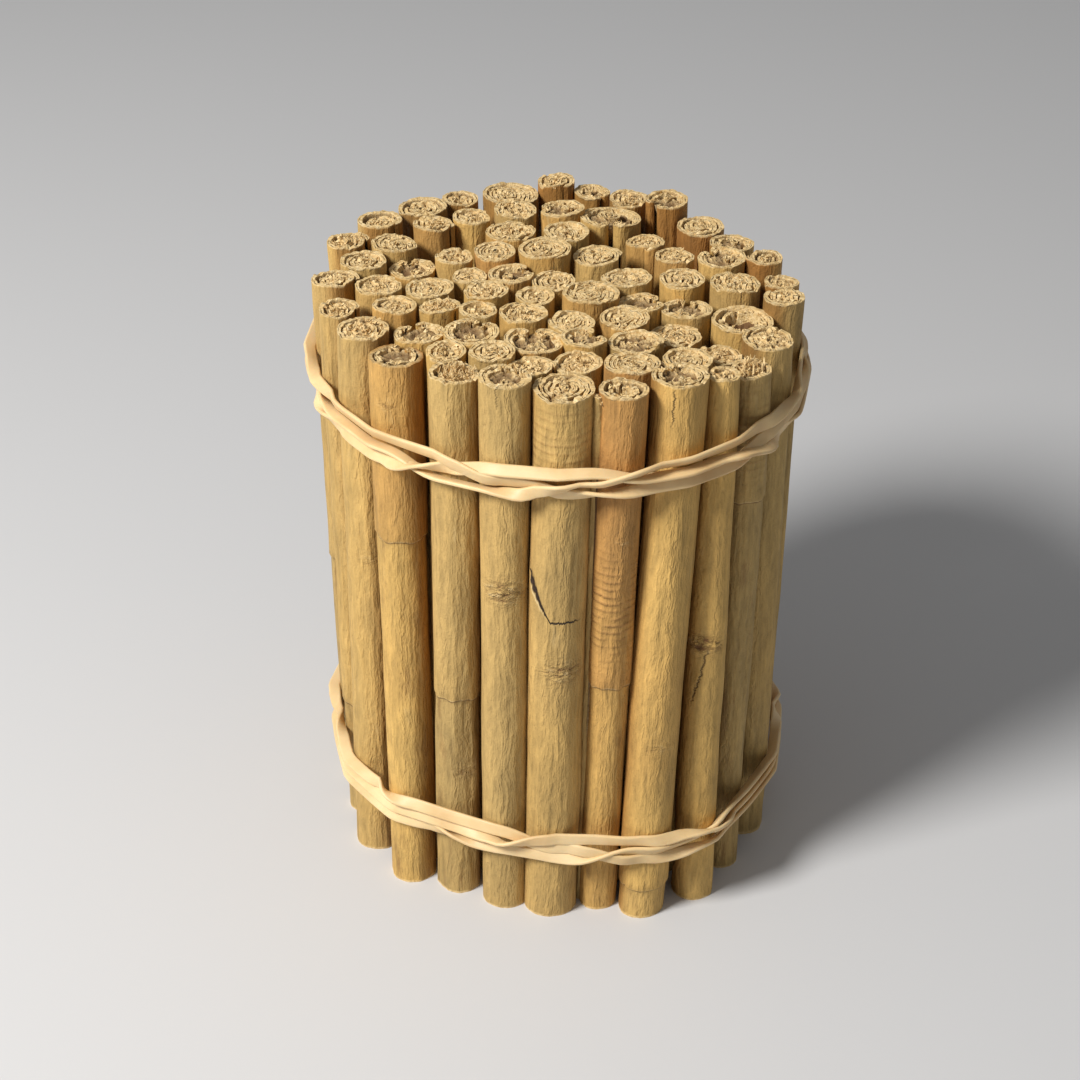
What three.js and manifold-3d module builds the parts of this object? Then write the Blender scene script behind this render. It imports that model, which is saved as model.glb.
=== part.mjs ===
// A bundle of whole cinnamon quills, standing on end and held by two rubber bands.
// Every quill is a roll of bark: a groove runs down it where its two curls meet, its head is
// dished, and it leans a little between its foot and its head. The quills are fused over a
// smaller core. Each band is one loop that passes round the bundle three times.
// Millimetres, +Z up, origin at the centre of the footprint.

import * as THREE from "three";
import { mergeVertices } from "three/addons/utils/BufferGeometryUtils.js";
import Module from "manifold-3d";

const wasm = await Module();
wasm.setup();

// ---------------------------------------------------------------- driving dimensions

const QUILL_LENGTH = 127; // a five-inch cut
const BUNDLE_RADIUS = 51.6; // at the heads
const FOOT_SCALE = 0.965; // the bundle is a little tighter at its foot
const BUNDLE_TWIST = THREE.MathUtils.degToRad(-1); // foot against head, about Z
const OVAL_DIRECTION = THREE.MathUtils.degToRad(38); // where the outline is longest, from the front
const HEAD_OVAL = 0.065; // how much longer, as a share of the radius
const FOOT_OVAL = 0.02;
const OUTER_RING = 3; // a quill that comes this close to the outline is an outer one
const CORE_INSET = 8; // the core stays this far inside the bundle
const CORE_HEAD_GAP = 10; // depth of the gaps between the heads
const CORE_FOOT_GAP = 5; // and between the feet

// Rows of quills from the back to the front, numbered from the left. Each row fills the stretch
// from `left` to `right` with the given diameters, and a negative number is a gap that its
// neighbours close. `depths` are the places of the row's two ends from front to back.
const ROWS = [
  { depths: [45, 45], left: -33.5, right: 27, widths: [12, 9, 13.5, 8, 8, 10, 9.5] },
  { depths: [33, 35], left: -42, right: 34.5, widths: [10.4, 9.2, 9, 10, 9.4, 12.5, -4, 11.5] },
  { depths: [21, 22], left: -49, right: 42.5, widths: [10, 10.5, -14, 11, 10.5, -8, 8.5, -10, 9.5] },
  { depths: [12, 12], left: -45.5, right: 49, widths: [10.5, 9.5, 8, 9, 11.5, 10.5, -8, 8.8, 9.6, 8.5] },
  { depths: [4.5, -1.5], left: -52, right: 50.5, widths: [10.5, -19, 7.5, 9, 9.5, -6, 10.5, 10, 11, 8.5] },
  { depths: [-3, -12], left: -41, right: 50.5, widths: [10.5, 10.5, 10, 8.5, 12, 9, 10, -8, 9] },
  { depths: [-12, -19], left: -47.7, right: 45.5, widths: [9, 9.5, 9, 8.5, 10, 9.5, 10.5, -13, 13] },
  { depths: [-23, -28], left: -46, right: 46.5, widths: [11.5, 10, 10.3, 11.5, 9, 10.5, 11.5, 11.5] },
  { depths: [-33.5, -37.5], left: -36.5, right: 40.5, widths: [11, 8.5, 9.5, 9.5, 10, 11, 10.5, 9.5] },
  { depths: [-45.5, -45], left: -25, right: 45.5, widths: [11, 10, 12.5, 3, 10.5, 11, 8, 9.5] },
];
const ROW_BOW = 0.16; // a row bends round with the bundle by this share of its depth
const HEAD_STEPS = 200; // rounds in which the quills push each other apart
const FOOT_STEPS = 100;
const FREE_STEPS = 40; // the last of them, in which no quill is held to its place
const PLACE_HOLD = 0.05; // how firmly one is held before that, each round

// Where the outer quills stand on the ring, in degrees from the front towards +X.
const RIM_ANGLES = {
  72: 2, 73: 11, 74: 17, 75: 30, 76: 39, 77: 47.5, 61: 60, 45: 79, 37: 91.5, 29: 105, 7: 151,
  6: 160.5, 5: 171.5, 4: 179, 3: 189, 2: 202, 1: 214, 8: 229, 15: 245.5, 30: 266.5, 46: 284,
  54: 295, 62: 316, 70: 334, 71: 347,
};

// Quills that stand out, by number: how much higher a head stands, how far a foot strays, and
// at what height the outer sheet of the bark ends in a lap.
const HEAD_RISE = {
  2: -1, 4: 2, 7: 2.5, 11: 1.5, 12: 1.5, 17: 2, 18: 1.5, 22: -2, 24: 1.5, 25: 2, 43: -1.5, 44: -2,
  53: -2.5, 55: -1.5, 60: -3, 62: -1.5, 69: -3.5, 71: 2, 75: 1.5, 77: -2.5,
};
const FOOT_STRAY = {
  54: [-0.5, -2.5], 61: [3.5, 5.5], 62: [1.3, -4.2], 70: [0, 1.8], 71: [0.5, 1.2], 72: [0, 0.3],
  73: [-0.5, 2.5], 74: [-1, 1.2], 75: [-1.7, -4.7], 76: [1.6, -2.5], 77: [2.5, 1.5],
};
const FOOT_SWELL = { 70: 1.08, 76: 1.3 }; // quills that are thicker at the foot
const LAP_HEIGHT = { 62: 86, 70: 52, 74: 59.5, 75: 7.5, 77: 96, 30: 60, 46: 30, 29: 66, 15: 88, 8: 38 };
const LAP_STEP = 0.93; // the sheet below a lap is this much narrower

const HEAD_SPREAD = 0.7; // the other heads stand this far above or below the cut length
const FOOT_LIFT = 1.4; // inner feet end up to this far above the floor
const STANDING_INNER = 42; // but this one, near the middle, stands on it as the outer ones do
const RIM_SIDES = 11; // sides of an outer quill
const INNER_SIDES = 7;
const GROOVE_DEPTH = 0.24; // of the quill's radius
const HOLLOW_RADIUS = 0.66; // of the quill's radius
const HOLLOW_DEPTH = 5;
const HOLLOW_TAPER = 0.8; // its floor against its mouth
const RAGGED = 0.7; // how uneven a head's rim is
const OUTER_FOOT = 0.96; // a quill is a little thinner at its foot, as a share of its radius
const INNER_FOOT = 0.98;
const FULL_WIDTH_SHARE = 0.6; // and has its full width from this share of its length
const LAP_EDGE = 0.3; // half the height of the edge of a lap

const STRAND_WIDTH = 2.1;
const STRAND_THICKNESS = 0.8;
const STRAND_PITCH = 2.45; // from one lane to the next
const CROSSING_LIFT = 1.1; // how far the outer strand of a crossing stands out
const LIFT_RISE = 1.5; // how soon in a crossing it stands out fully
const CROSSING_HALF_ANGLE = 7; // degrees
const BAND_CLEARANCE = 0.35;
const BAND_TURNS = 3;
const STEPS_PER_TURN = 48;
const HULL_DIRECTIONS = 360; // directions in which a band's tight outline is measured

// Heights are of the middle lane and tilts are slopes along X and Y. A crossing gives its angle
// in degrees from the front, the lower of the two lanes that swap, and whether the strand
// that climbs passes outside. The swaps of one turn lead each lane to another, so that the
// three turns are one loop.
const BANDS = {
  band_upper: {
    height: 111,
    tilt: [0.044, 0.02],
    crossings: [[-35, 0, true], [-20, 1, false], [-3, 0, true], [13, 1, true], [43, 0, false], [150, 0, true]],
  },
  band_lower: {
    height: 20.5,
    tilt: [-0.021, 0.01],
    crossings: [[-140, 0, true], [-8, 1, true], [11, 0, false], [37, 1, false]],
  },
};

const BARK = { color: 0xc09a5c, roughness: 0.85, metalness: 0 };
const LATEX = { color: 0xe6cda0, roughness: 0.5, metalness: 0 };

// ---------------------------------------------------------------- small helpers

function seededRandom(seed) {
  let state = seed;
  return () => {
    state = (state * 1664525 + 1013904223) % 4294967296;
    return state / 4294967296;
  };
}

function solidFrom(geometry) {
  geometry.deleteAttribute("normal");
  geometry.deleteAttribute("uv");
  const merged = mergeVertices(geometry, 1e-4);
  const index = merged.index.array;
  const triangles = [];
  for (let i = 0; i < index.length; i += 3) {
    const [a, b, c] = [index[i], index[i + 1], index[i + 2]];
    if (a !== b && b !== c && c !== a) triangles.push(a, b, c);
  }
  const mesh = new wasm.Mesh({
    numProp: 3,
    vertProperties: new Float32Array(merged.attributes.position.array),
    triVerts: new Uint32Array(triangles),
  });
  return new wasm.Manifold(mesh);
}

// Keeps the one outer body, so that no loose scrap and no sealed hollow is left.
function largestBody(solid) {
  const bodies = solid.decompose();
  return bodies.reduce((best, body) => (body.volume() > best.volume() ? body : best));
}

function geometryFrom(solid) {
  const mesh = solid.getMesh();
  const geometry = new THREE.BufferGeometry();
  geometry.setAttribute("position", new THREE.BufferAttribute(mesh.vertProperties, 3));
  geometry.setIndex(new THREE.BufferAttribute(mesh.triVerts, 1));
  return geometry;
}

function namedMesh(name, solid, look) {
  const mesh = new THREE.Mesh(geometryFrom(solid), new THREE.MeshStandardMaterial(look));
  mesh.name = name;
  return mesh;
}

// Moves every corner of a geometry to where `place` puts it.
function bend(geometry, place) {
  const position = geometry.attributes.position;
  const corner = new THREE.Vector3();
  for (let i = 0; i < position.count; i += 1) {
    corner.fromBufferAttribute(position, i);
    place(corner);
    position.setXYZ(i, corner.x, corner.y, corner.z);
  }
  return geometry;
}

// ---------------------------------------------------------------- the plan of the bundle

// The outline's radius as a share of the bundle's, in a direction in radians from the front.
function outlineShare(direction, oval) {
  return 1 + oval * Math.cos(2 * (direction - OVAL_DIRECTION));
}

// The spot against the outline for a circle that stands in a direction from the front.
function rimSpot(direction, radius, wallRadius, oval) {
  const reach = wallRadius * outlineShare(direction, oval) - radius;
  return { x: Math.sin(direction) * reach, y: -Math.cos(direction) * reach };
}

// Pushes apart the circles that overlap, holds each near its place until the last rounds, and
// keeps them all inside the outline, with the outer ones against it.
function settle(circles, steps, wallRadius, oval) {
  const homes = circles.map(({ x, y }) => ({ x, y }));
  for (let step = 0; step < steps; step += 1) {
    for (let i = 0; i < circles.length; i += 1) {
      for (let j = i + 1; j < circles.length; j += 1) {
        const dx = circles[j].x - circles[i].x;
        const dy = circles[j].y - circles[i].y;
        const distance = Math.hypot(dx, dy);
        const overlap = circles[i].radius + circles[j].radius - distance;
        if (overlap > 0) {
          const share = (overlap * 0.5) / distance;
          circles[i].x -= dx * share;
          circles[i].y -= dy * share;
          circles[j].x += dx * share;
          circles[j].y += dy * share;
        }
      }
    }
    const hold = step < steps - FREE_STEPS ? PLACE_HOLD : 0;
    circles.forEach((circle, index) => {
      const rim = rimSpot(Math.atan2(circle.x, -circle.y), circle.radius, wallRadius, oval);
      const beyond = Math.hypot(circle.x, circle.y) > Math.hypot(rim.x, rim.y);
      if (beyond || RIM_ANGLES[index + 1] !== undefined) Object.assign(circle, rim);
      circle.x += hold * (homes[index].x - circle.x);
      circle.y += hold * (homes[index].y - circle.y);
    });
  }
  return circles;
}

function headCircles() {
  const circles = [];
  for (const { depths, left, right, widths } of ROWS) {
    const total = widths.reduce((sum, width) => sum + Math.abs(width), 0);
    const stretch = (right - left) / total;
    let edge = left;
    for (const width of widths) {
      const room = Math.abs(width) * stretch;
      const rimAngle = RIM_ANGLES[circles.length + 1];
      const radius = width / 2;
      if (width > 0 && rimAngle !== undefined) {
        const direction = THREE.MathUtils.degToRad(rimAngle);
        circles.push({ ...rimSpot(direction, radius, BUNDLE_RADIUS, HEAD_OVAL), radius });
      } else if (width > 0) {
        const x = edge + room / 2;
        const depth = THREE.MathUtils.mapLinear(x, left, right, ...depths);
        circles.push({ x, y: depth * (1 - ROW_BOW * (x / BUNDLE_RADIUS) ** 2), radius });
      }
      edge += room;
    }
  }
  return settle(circles, HEAD_STEPS, BUNDLE_RADIUS, HEAD_OVAL);
}

function footCircles(heads) {
  const cos = Math.cos(BUNDLE_TWIST);
  const sin = Math.sin(BUNDLE_TWIST);
  const circles = heads.map(({ x, y, radius }) => ({
    x: FOOT_SCALE * (cos * x - sin * y),
    y: FOOT_SCALE * (sin * x + cos * y),
    radius: radius * FOOT_SCALE,
  }));
  settle(circles, FOOT_STEPS, BUNDLE_RADIUS * FOOT_SCALE, FOOT_OVAL);
  Object.entries(FOOT_STRAY).forEach(([number, [strayX, strayY]]) => {
    circles[number - 1].x += strayX;
    circles[number - 1].y += strayY;
  });
  Object.entries(FOOT_SWELL).forEach(([number, swell]) => {
    circles[number - 1].radius *= swell;
  });
  return circles;
}

// Shifts the plan so that the middle of its outline is over the origin.
function centred(heads, feet) {
  const all = [...heads, ...feet];
  const middle = (key) => {
    const low = Math.min(...all.map((circle) => circle[key] - circle.radius));
    const high = Math.max(...all.map((circle) => circle[key] + circle.radius));
    return (low + high) / 2;
  };
  const x = middle("x");
  const y = middle("y");
  all.forEach((circle) => {
    circle.x -= x;
    circle.y -= y;
  });
}

function planQuills() {
  const random = seededRandom(5);
  const heads = headCircles();
  const feet = footCircles(heads);
  centred(heads, feet);
  return heads.map((head, index) => {
    const foot = feet[index];
    const number = index + 1;
    const rim = rimSpot(Math.atan2(head.x, -head.y), head.radius, BUNDLE_RADIUS, HEAD_OVAL);
    const outer = Math.hypot(head.x, head.y) > Math.hypot(rim.x, rim.y) - OUTER_RING;
    const spread = (2 * random() - 1) * HEAD_SPREAD;
    const lift = random() * FOOT_LIFT;
    const standing = outer || number === STANDING_INNER;
    return {
      head,
      foot,
      outer,
      top: QUILL_LENGTH + (HEAD_RISE[number] ?? spread),
      bottom: standing ? 0 : lift,
      lap: LAP_HEIGHT[number],
      groove: random() * 2 * Math.PI,
      ragged: seededRandom(1000 + number),
    };
  });
}

// ---------------------------------------------------------------- the quills and their core

// The profile of a quill from the middle of its foot, up its outside, to the bottom of the
// hollow in its head. Radii are shares of the quill's own radius.
function quillProfile({ outer, top, bottom, lap }) {
  const sides = lap
    ? [[LAP_STEP, bottom], [LAP_STEP, lap - LAP_EDGE], [1, lap + LAP_EDGE]]
    : [[OUTER_FOOT, bottom], [1, QUILL_LENGTH * FULL_WIDTH_SHARE]];
  const profile = [
    [0, bottom],
    ...(outer ? sides : [[INNER_FOOT, bottom]]),
    [1, top],
    [HOLLOW_RADIUS, top],
    [HOLLOW_RADIUS * HOLLOW_TAPER, top - HOLLOW_DEPTH],
    [0, top - HOLLOW_DEPTH],
  ];
  return profile.map(([radius, z]) => new THREE.Vector2(radius, z));
}

// How much further than a circle's radius the corners of a polygon of the same area reach.
function roundness(sides) {
  const slice = (2 * Math.PI) / sides;
  return Math.sqrt(slice / Math.sin(slice));
}

function quillSolid(quill) {
  const { head, foot, outer, top, groove, ragged } = quill;
  const sides = outer ? RIM_SIDES : INNER_SIDES;
  const geometry = new THREE.LatheGeometry(quillProfile(quill), sides);
  geometry.rotateX(Math.PI / 2);
  const notch = Math.round((groove / (2 * Math.PI)) * sides);
  const nicks = Array.from({ length: sides }, () => (2 * ragged() - 1) * RAGGED);
  const cornerShare = roundness(sides);
  return solidFrom(bend(geometry, (corner) => {
    const angle = Math.atan2(corner.y, corner.x);
    const side = Math.round((angle / (2 * Math.PI)) * sides + sides) % sides;
    const share = corner.z / QUILL_LENGTH;
    const radius = THREE.MathUtils.lerp(foot.radius, head.radius, share) * cornerShare;
    const size = side === notch % sides ? radius * (1 - GROOVE_DEPTH) : radius;
    const onRim = corner.z > top - 0.01;
    corner.x = corner.x * size + THREE.MathUtils.lerp(foot.x, head.x, share);
    corner.y = corner.y * size + THREE.MathUtils.lerp(foot.y, head.y, share);
    corner.z += onRim ? nicks[side] : 0;
  }));
}

function coreSolid() {
  const footRadius = BUNDLE_RADIUS * FOOT_SCALE - CORE_INSET;
  const headRadius = BUNDLE_RADIUS - CORE_INSET;
  const height = QUILL_LENGTH - CORE_HEAD_GAP - CORE_FOOT_GAP;
  const geometry = new THREE.CylinderGeometry(headRadius, footRadius, height, 32);
  geometry.rotateX(Math.PI / 2);
  geometry.translate(0, 0, CORE_FOOT_GAP + height / 2);
  return solidFrom(geometry);
}

function bundleSolid(quills) {
  const whole = quills.reduce((sum, quill) => sum.add(quillSolid(quill)), coreSolid());
  return largestBody(whole);
}

// ---------------------------------------------------------------- the rubber bands

// How far from the axis a band pulled tight round the quills lies, in any direction.
function hullDistance(quills, height) {
  const share = height / QUILL_LENGTH;
  const circles = quills.map(({ head, foot }) => ({
    x: THREE.MathUtils.lerp(foot.x, head.x, share),
    y: THREE.MathUtils.lerp(foot.y, head.y, share),
    radius: THREE.MathUtils.lerp(foot.radius, head.radius, share) * roundness(RIM_SIDES),
  }));
  const supports = Array.from({ length: HULL_DIRECTIONS }, (_, i) => {
    const angle = (i / HULL_DIRECTIONS) * 2 * Math.PI;
    const reach = circles.map((c) => c.x * Math.cos(angle) + c.y * Math.sin(angle) + c.radius);
    return { angle, reach: Math.max(...reach) };
  });
  const distance = (direction) => {
    const facing = supports.filter(({ angle }) => Math.cos(angle - direction) > 0.2);
    return Math.min(...facing.map(({ angle, reach }) => reach / Math.cos(angle - direction)));
  };
  // A straight stretch between two corners must not cut a quill, so a corner looks half a
  // stretch to either side.
  const half = Math.PI / STEPS_PER_TURN;
  return (direction) => Math.max(...[-half, 0, half].map((turn) => distance(direction + turn)));
}

// The lane that a strand is in and how far it is lifted out, some turns after its start at the
// back of the bundle.
function strandState(crossings, turns) {
  let lane = 1;
  for (let turn = 0; turn < BAND_TURNS; turn += 1) {
    for (const [angle, pair, climberOutside] of crossings) {
      const reached = (turns - turn) * 360 - 180 - angle + CROSSING_HALF_ANGLE;
      const along = reached / (2 * CROSSING_HALF_ANGLE);
      if (along <= 0) return { place: lane, lift: 0 };
      const climbs = lane === pair;
      if (!climbs && lane !== pair + 1) continue;
      const target = climbs ? pair + 1 : pair;
      if (along < 1) {
        const outside = climbs === climberOutside;
        return {
          place: THREE.MathUtils.lerp(lane, target, THREE.MathUtils.smootherstep(along, 0, 1)),
          lift: outside ? CROSSING_LIFT * Math.min(1, LIFT_RISE * Math.sin(Math.PI * along)) : 0,
        };
      }
      lane = target;
    }
  }
  return { place: lane, lift: 0 };
}

// One closed loop of rectangular section: a torus whose corners are put along the strand.
function bandSolid(quills, { height, tilt, crossings }) {
  const distance = hullDistance(quills, height);
  const steps = BAND_TURNS * STEPS_PER_TURN;
  const section = [[1, 1], [-1, 1], [-1, -1], [1, -1]];
  const geometry = new THREE.TorusGeometry(1, 0.5, section.length, steps);
  const inner = BAND_CLEARANCE + STRAND_THICKNESS / 2;
  let index = 0;
  return solidFrom(bend(geometry, (corner) => {
    const turns = (index % (steps + 1)) % steps / STEPS_PER_TURN;
    const [out, up] = section[Math.floor(index / (steps + 1)) % section.length];
    index += 1;
    const direction = Math.PI / 2 + turns * 2 * Math.PI;
    const { place, lift } = strandState(crossings, turns);
    const reach = distance(direction) + inner + lift + (out * STRAND_THICKNESS) / 2;
    corner.x = reach * Math.cos(direction);
    corner.y = reach * Math.sin(direction);
    const slope = tilt[0] * corner.x + tilt[1] * corner.y;
    corner.z = height + slope + (place - 1) * STRAND_PITCH + (up * STRAND_WIDTH) / 2;
  }));
}

// ---------------------------------------------------------------- the whole object

const quills = planQuills();
const group = new THREE.Group();
group.name = "cinnamon_quill_bundle";
group.add(namedMesh("quill_bundle", bundleSolid(quills), BARK));
for (const [name, band] of Object.entries(BANDS)) {
  group.add(namedMesh(name, bandSolid(quills, band), LATEX));
}

export default group;
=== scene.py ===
# %% [markdown]
# # A bundle of cinnamon quills
# A quill is a roll of thin inner bark. Here 77 of them stand on end in two rubber bands. This
# notebook dresses a plain solid model of the bundle with real rolled sheets of bark and real
# rubber strands. The model is the frame: it gives every size and place.

# %% Load the frame
import functools
import itertools
import math
import bpy
import mathutils
import numpy as np
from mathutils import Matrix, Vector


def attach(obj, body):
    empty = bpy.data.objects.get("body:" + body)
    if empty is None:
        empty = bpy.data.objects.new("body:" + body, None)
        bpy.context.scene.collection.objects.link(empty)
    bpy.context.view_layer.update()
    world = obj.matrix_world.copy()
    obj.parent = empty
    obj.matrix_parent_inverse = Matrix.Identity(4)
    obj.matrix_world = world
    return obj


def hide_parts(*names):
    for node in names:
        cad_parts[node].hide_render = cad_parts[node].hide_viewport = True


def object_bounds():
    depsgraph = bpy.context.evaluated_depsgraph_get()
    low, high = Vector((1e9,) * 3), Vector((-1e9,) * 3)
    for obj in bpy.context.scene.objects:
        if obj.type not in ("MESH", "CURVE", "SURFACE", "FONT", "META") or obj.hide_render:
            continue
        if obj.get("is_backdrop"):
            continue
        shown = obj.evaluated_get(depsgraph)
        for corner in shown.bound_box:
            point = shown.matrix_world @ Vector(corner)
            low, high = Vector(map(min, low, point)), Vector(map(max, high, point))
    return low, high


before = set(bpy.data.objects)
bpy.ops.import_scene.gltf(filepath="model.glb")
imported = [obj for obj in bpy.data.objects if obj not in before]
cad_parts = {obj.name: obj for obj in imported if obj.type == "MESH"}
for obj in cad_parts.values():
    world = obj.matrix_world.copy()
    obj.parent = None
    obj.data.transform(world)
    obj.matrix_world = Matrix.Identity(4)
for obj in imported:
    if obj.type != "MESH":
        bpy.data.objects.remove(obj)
cad_low, cad_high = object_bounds()
MM = 0.001
print("bundle, in mm:", [round((high - low) / MM, 1) for low, high in zip(cad_low, cad_high)])

# %% [markdown]
# ## Camera
# The camera looks down on the heads at about 32 degrees, from a little over half a metre away,
# through a long lens. The lens follows from how many pixels wide the frame is.

# %% Camera
FRAME_PIXELS = 1080
FOCAL_PIXELS = 2300
SENSOR_MM = 36
CAMERA_PLACE = (-3.3 * MM, -428.2 * MM, 330.7 * MM)
CAMERA_DOWN = 31.83
CLIP_START = 0.01

camera_data = bpy.data.cameras.new("camera")
camera_data.sensor_width = SENSOR_MM
camera_data.lens = SENSOR_MM * FOCAL_PIXELS / FRAME_PIXELS
camera_data.clip_start = CLIP_START
camera = bpy.data.objects.new("camera", camera_data)
camera.location = CAMERA_PLACE
camera.rotation_euler = (math.radians(90 - CAMERA_DOWN), 0, 0)
bpy.context.collection.objects.link(camera)
bpy.context.scene.camera = camera
print("lens:", round(camera_data.lens, 1), "mm")

# %% [markdown]
# ## The plan of the bundle
# The quills stand in rows, and a row is a list of diameters. Circles of those sizes are pushed
# apart until they no longer overlap, with the outer ones held on a ring, as the bands hold them.
# The same rule and the same numbers made the solid model, so each roll of bark lands exactly
# where the model has it.

# %% Sizes of the plan, in millimetres
QUILL_LENGTH = 127
BUNDLE_RADIUS = 51.6
FOOT_SCALE = 0.965
BUNDLE_TWIST = math.radians(-1)
OVAL_DIRECTION = math.radians(38)
HEAD_OVAL = 0.065
FOOT_OVAL = 0.02
OUTER_RING = 3
ROWS = [  # depths of the two ends, left end, right end, diameters from the left; < 0 is a gap
    ((45, 45), -33.5, 27, [12, 9, 13.5, 8, 8, 10, 9.5]),
    ((33, 35), -42, 34.5, [10.4, 9.2, 9, 10, 9.4, 12.5, -4, 11.5]),
    ((21, 22), -49, 42.5, [10, 10.5, -14, 11, 10.5, -8, 8.5, -10, 9.5]),
    ((12, 12), -45.5, 49, [10.5, 9.5, 8, 9, 11.5, 10.5, -8, 8.8, 9.6, 8.5]),
    ((4.5, -1.5), -52, 50.5, [10.5, -19, 7.5, 9, 9.5, -6, 10.5, 10, 11, 8.5]),
    ((-3, -12), -41, 50.5, [10.5, 10.5, 10, 8.5, 12, 9, 10, -8, 9]),
    ((-12, -19), -47.7, 45.5, [9, 9.5, 9, 8.5, 10, 9.5, 10.5, -13, 13]),
    ((-23, -28), -46, 46.5, [11.5, 10, 10.3, 11.5, 9, 10.5, 11.5, 11.5]),
    ((-33.5, -37.5), -36.5, 40.5, [11, 8.5, 9.5, 9.5, 10, 11, 10.5, 9.5]),
    ((-45.5, -45), -25, 45.5, [11, 10, 12.5, 3, 10.5, 11, 8, 9.5]),
]
ROW_BOW = 0.16
HEAD_STEPS = 200
FOOT_STEPS = 100
FREE_STEPS = 40
PLACE_HOLD = 0.05
RIM_ANGLES = {
    72: 2, 73: 11, 74: 17, 75: 30, 76: 39, 77: 47.5, 61: 60, 45: 79, 37: 91.5, 29: 105, 7: 151,
    6: 160.5, 5: 171.5, 4: 179, 3: 189, 2: 202, 1: 214, 8: 229, 15: 245.5, 30: 266.5, 46: 284,
    54: 295, 62: 316, 70: 334, 71: 347,
}
HEAD_RISE = {
    2: -1, 4: 2, 7: 2.5, 11: 1.5, 12: 1.5, 17: 2, 18: 1.5, 22: -2, 24: 1.5, 25: 2, 43: -1.5,
    44: -2, 53: -2.5, 55: -1.5, 60: -3, 62: -1.5, 69: -3.5, 71: 2, 75: 1.5, 77: -2.5,
}
FOOT_STRAY = {
    54: (-0.5, -2.5), 61: (3.5, 5.5), 62: (1.3, -4.2), 70: (0, 1.8), 71: (0.5, 1.2), 72: (0, 0.3),
    73: (-0.5, 2.5), 74: (-1, 1.2), 75: (-1.7, -4.7), 76: (1.6, -2.5), 77: (2.5, 1.5),
}
FOOT_SWELL = {70: 1.08, 76: 1.3}
HEAD_SPREAD = 0.7
FOOT_LIFT = 1.4
STANDING_INNER = 42
print(len(ROWS), "rows,", len(RIM_ANGLES), "quills held on the rim")


# %% Numbers by chance, the same ones each time
class Draws:
    """A small seeded generator of random numbers, the same one that the solid model uses."""

    def __init__(self, seed):
        self.state = seed

    def __call__(self, low=0.0, high=1.0):
        self.state = (self.state * 1664525 + 1013904223) % 2**32
        return low + (high - low) * self.state / 2**32


draw = Draws(5)
print("seed 5 draws", [round(draw(), 3) for _ in range(3)])


# %% Push circles apart inside an outline
def rim_spot(direction, radius, wall, oval):
    """The spot against the oval outline for a circle in a direction from the front."""
    reach = wall * (1 + oval * math.cos(2 * (direction - OVAL_DIRECTION))) - radius
    return math.sin(direction) * reach, -math.cos(direction) * reach


def push_apart(one, other):
    dx, dy = other["x"] - one["x"], other["y"] - one["y"]
    distance = math.hypot(dx, dy)
    overlap = one["r"] + other["r"] - distance
    if overlap > 0:
        share = overlap * 0.5 / distance
        one["x"] -= dx * share
        one["y"] -= dy * share
        other["x"] += dx * share
        other["y"] += dy * share


def settle(circles, steps, wall, oval):
    """Pushes overlapping circles apart, near their places, and keeps them in the outline."""
    homes = [(circle["x"], circle["y"]) for circle in circles]
    for step in range(steps):
        for i, one in enumerate(circles):
            for other in circles[i + 1:]:
                push_apart(one, other)
        hold = PLACE_HOLD if step < steps - FREE_STEPS else 0
        for number, (circle, home) in enumerate(zip(circles, homes), 1):
            direction = math.atan2(circle["x"], -circle["y"])
            rim = rim_spot(direction, circle["r"], wall, oval)
            beyond = math.hypot(circle["x"], circle["y"]) > math.hypot(*rim)
            if beyond or number in RIM_ANGLES:
                circle["x"], circle["y"] = rim
            circle["x"] += hold * (home[0] - circle["x"])
            circle["y"] += hold * (home[1] - circle["y"])
    return circles


front = rim_spot(0, 0, BUNDLE_RADIUS, HEAD_OVAL)
print("the outline of the heads reaches", round(-front[1], 1), "mm to the front")


# %% Where the heads and the feet are
def head_circles():
    circles = []
    for (left_depth, right_depth), left, right, widths in ROWS:
        stretch = (right - left) / sum(map(abs, widths))
        edge = left
        for width in widths:
            room = abs(width) * stretch
            number = len(circles) + 1
            if width > 0 and number in RIM_ANGLES:
                direction = math.radians(RIM_ANGLES[number])
                x, y = rim_spot(direction, width / 2, BUNDLE_RADIUS, HEAD_OVAL)
                circles.append({"x": x, "y": y, "r": width / 2})
            elif width > 0:
                x = edge + room / 2
                depth = left_depth + (right_depth - left_depth) * (x - left) / (right - left)
                y = depth * (1 - ROW_BOW * (x / BUNDLE_RADIUS) ** 2)
                circles.append({"x": x, "y": y, "r": width / 2})
            edge += room
    return settle(circles, HEAD_STEPS, BUNDLE_RADIUS, HEAD_OVAL)


def foot_circles(heads):
    cos, sin = math.cos(BUNDLE_TWIST), math.sin(BUNDLE_TWIST)
    circles = [{"x": FOOT_SCALE * (cos * c["x"] - sin * c["y"]),
                "y": FOOT_SCALE * (sin * c["x"] + cos * c["y"]),
                "r": FOOT_SCALE * c["r"]} for c in heads]
    settle(circles, FOOT_STEPS, BUNDLE_RADIUS * FOOT_SCALE, FOOT_OVAL)
    for number, (stray_x, stray_y) in FOOT_STRAY.items():
        circles[number - 1]["x"] += stray_x
        circles[number - 1]["y"] += stray_y
    for number, swell in FOOT_SWELL.items():
        circles[number - 1]["r"] *= swell
    return circles


heads = head_circles()
feet = foot_circles(heads)
widths = [2 * circle["r"] for circle in heads]
print("heads are", min(widths), "to", max(widths), "mm wide")


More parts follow.
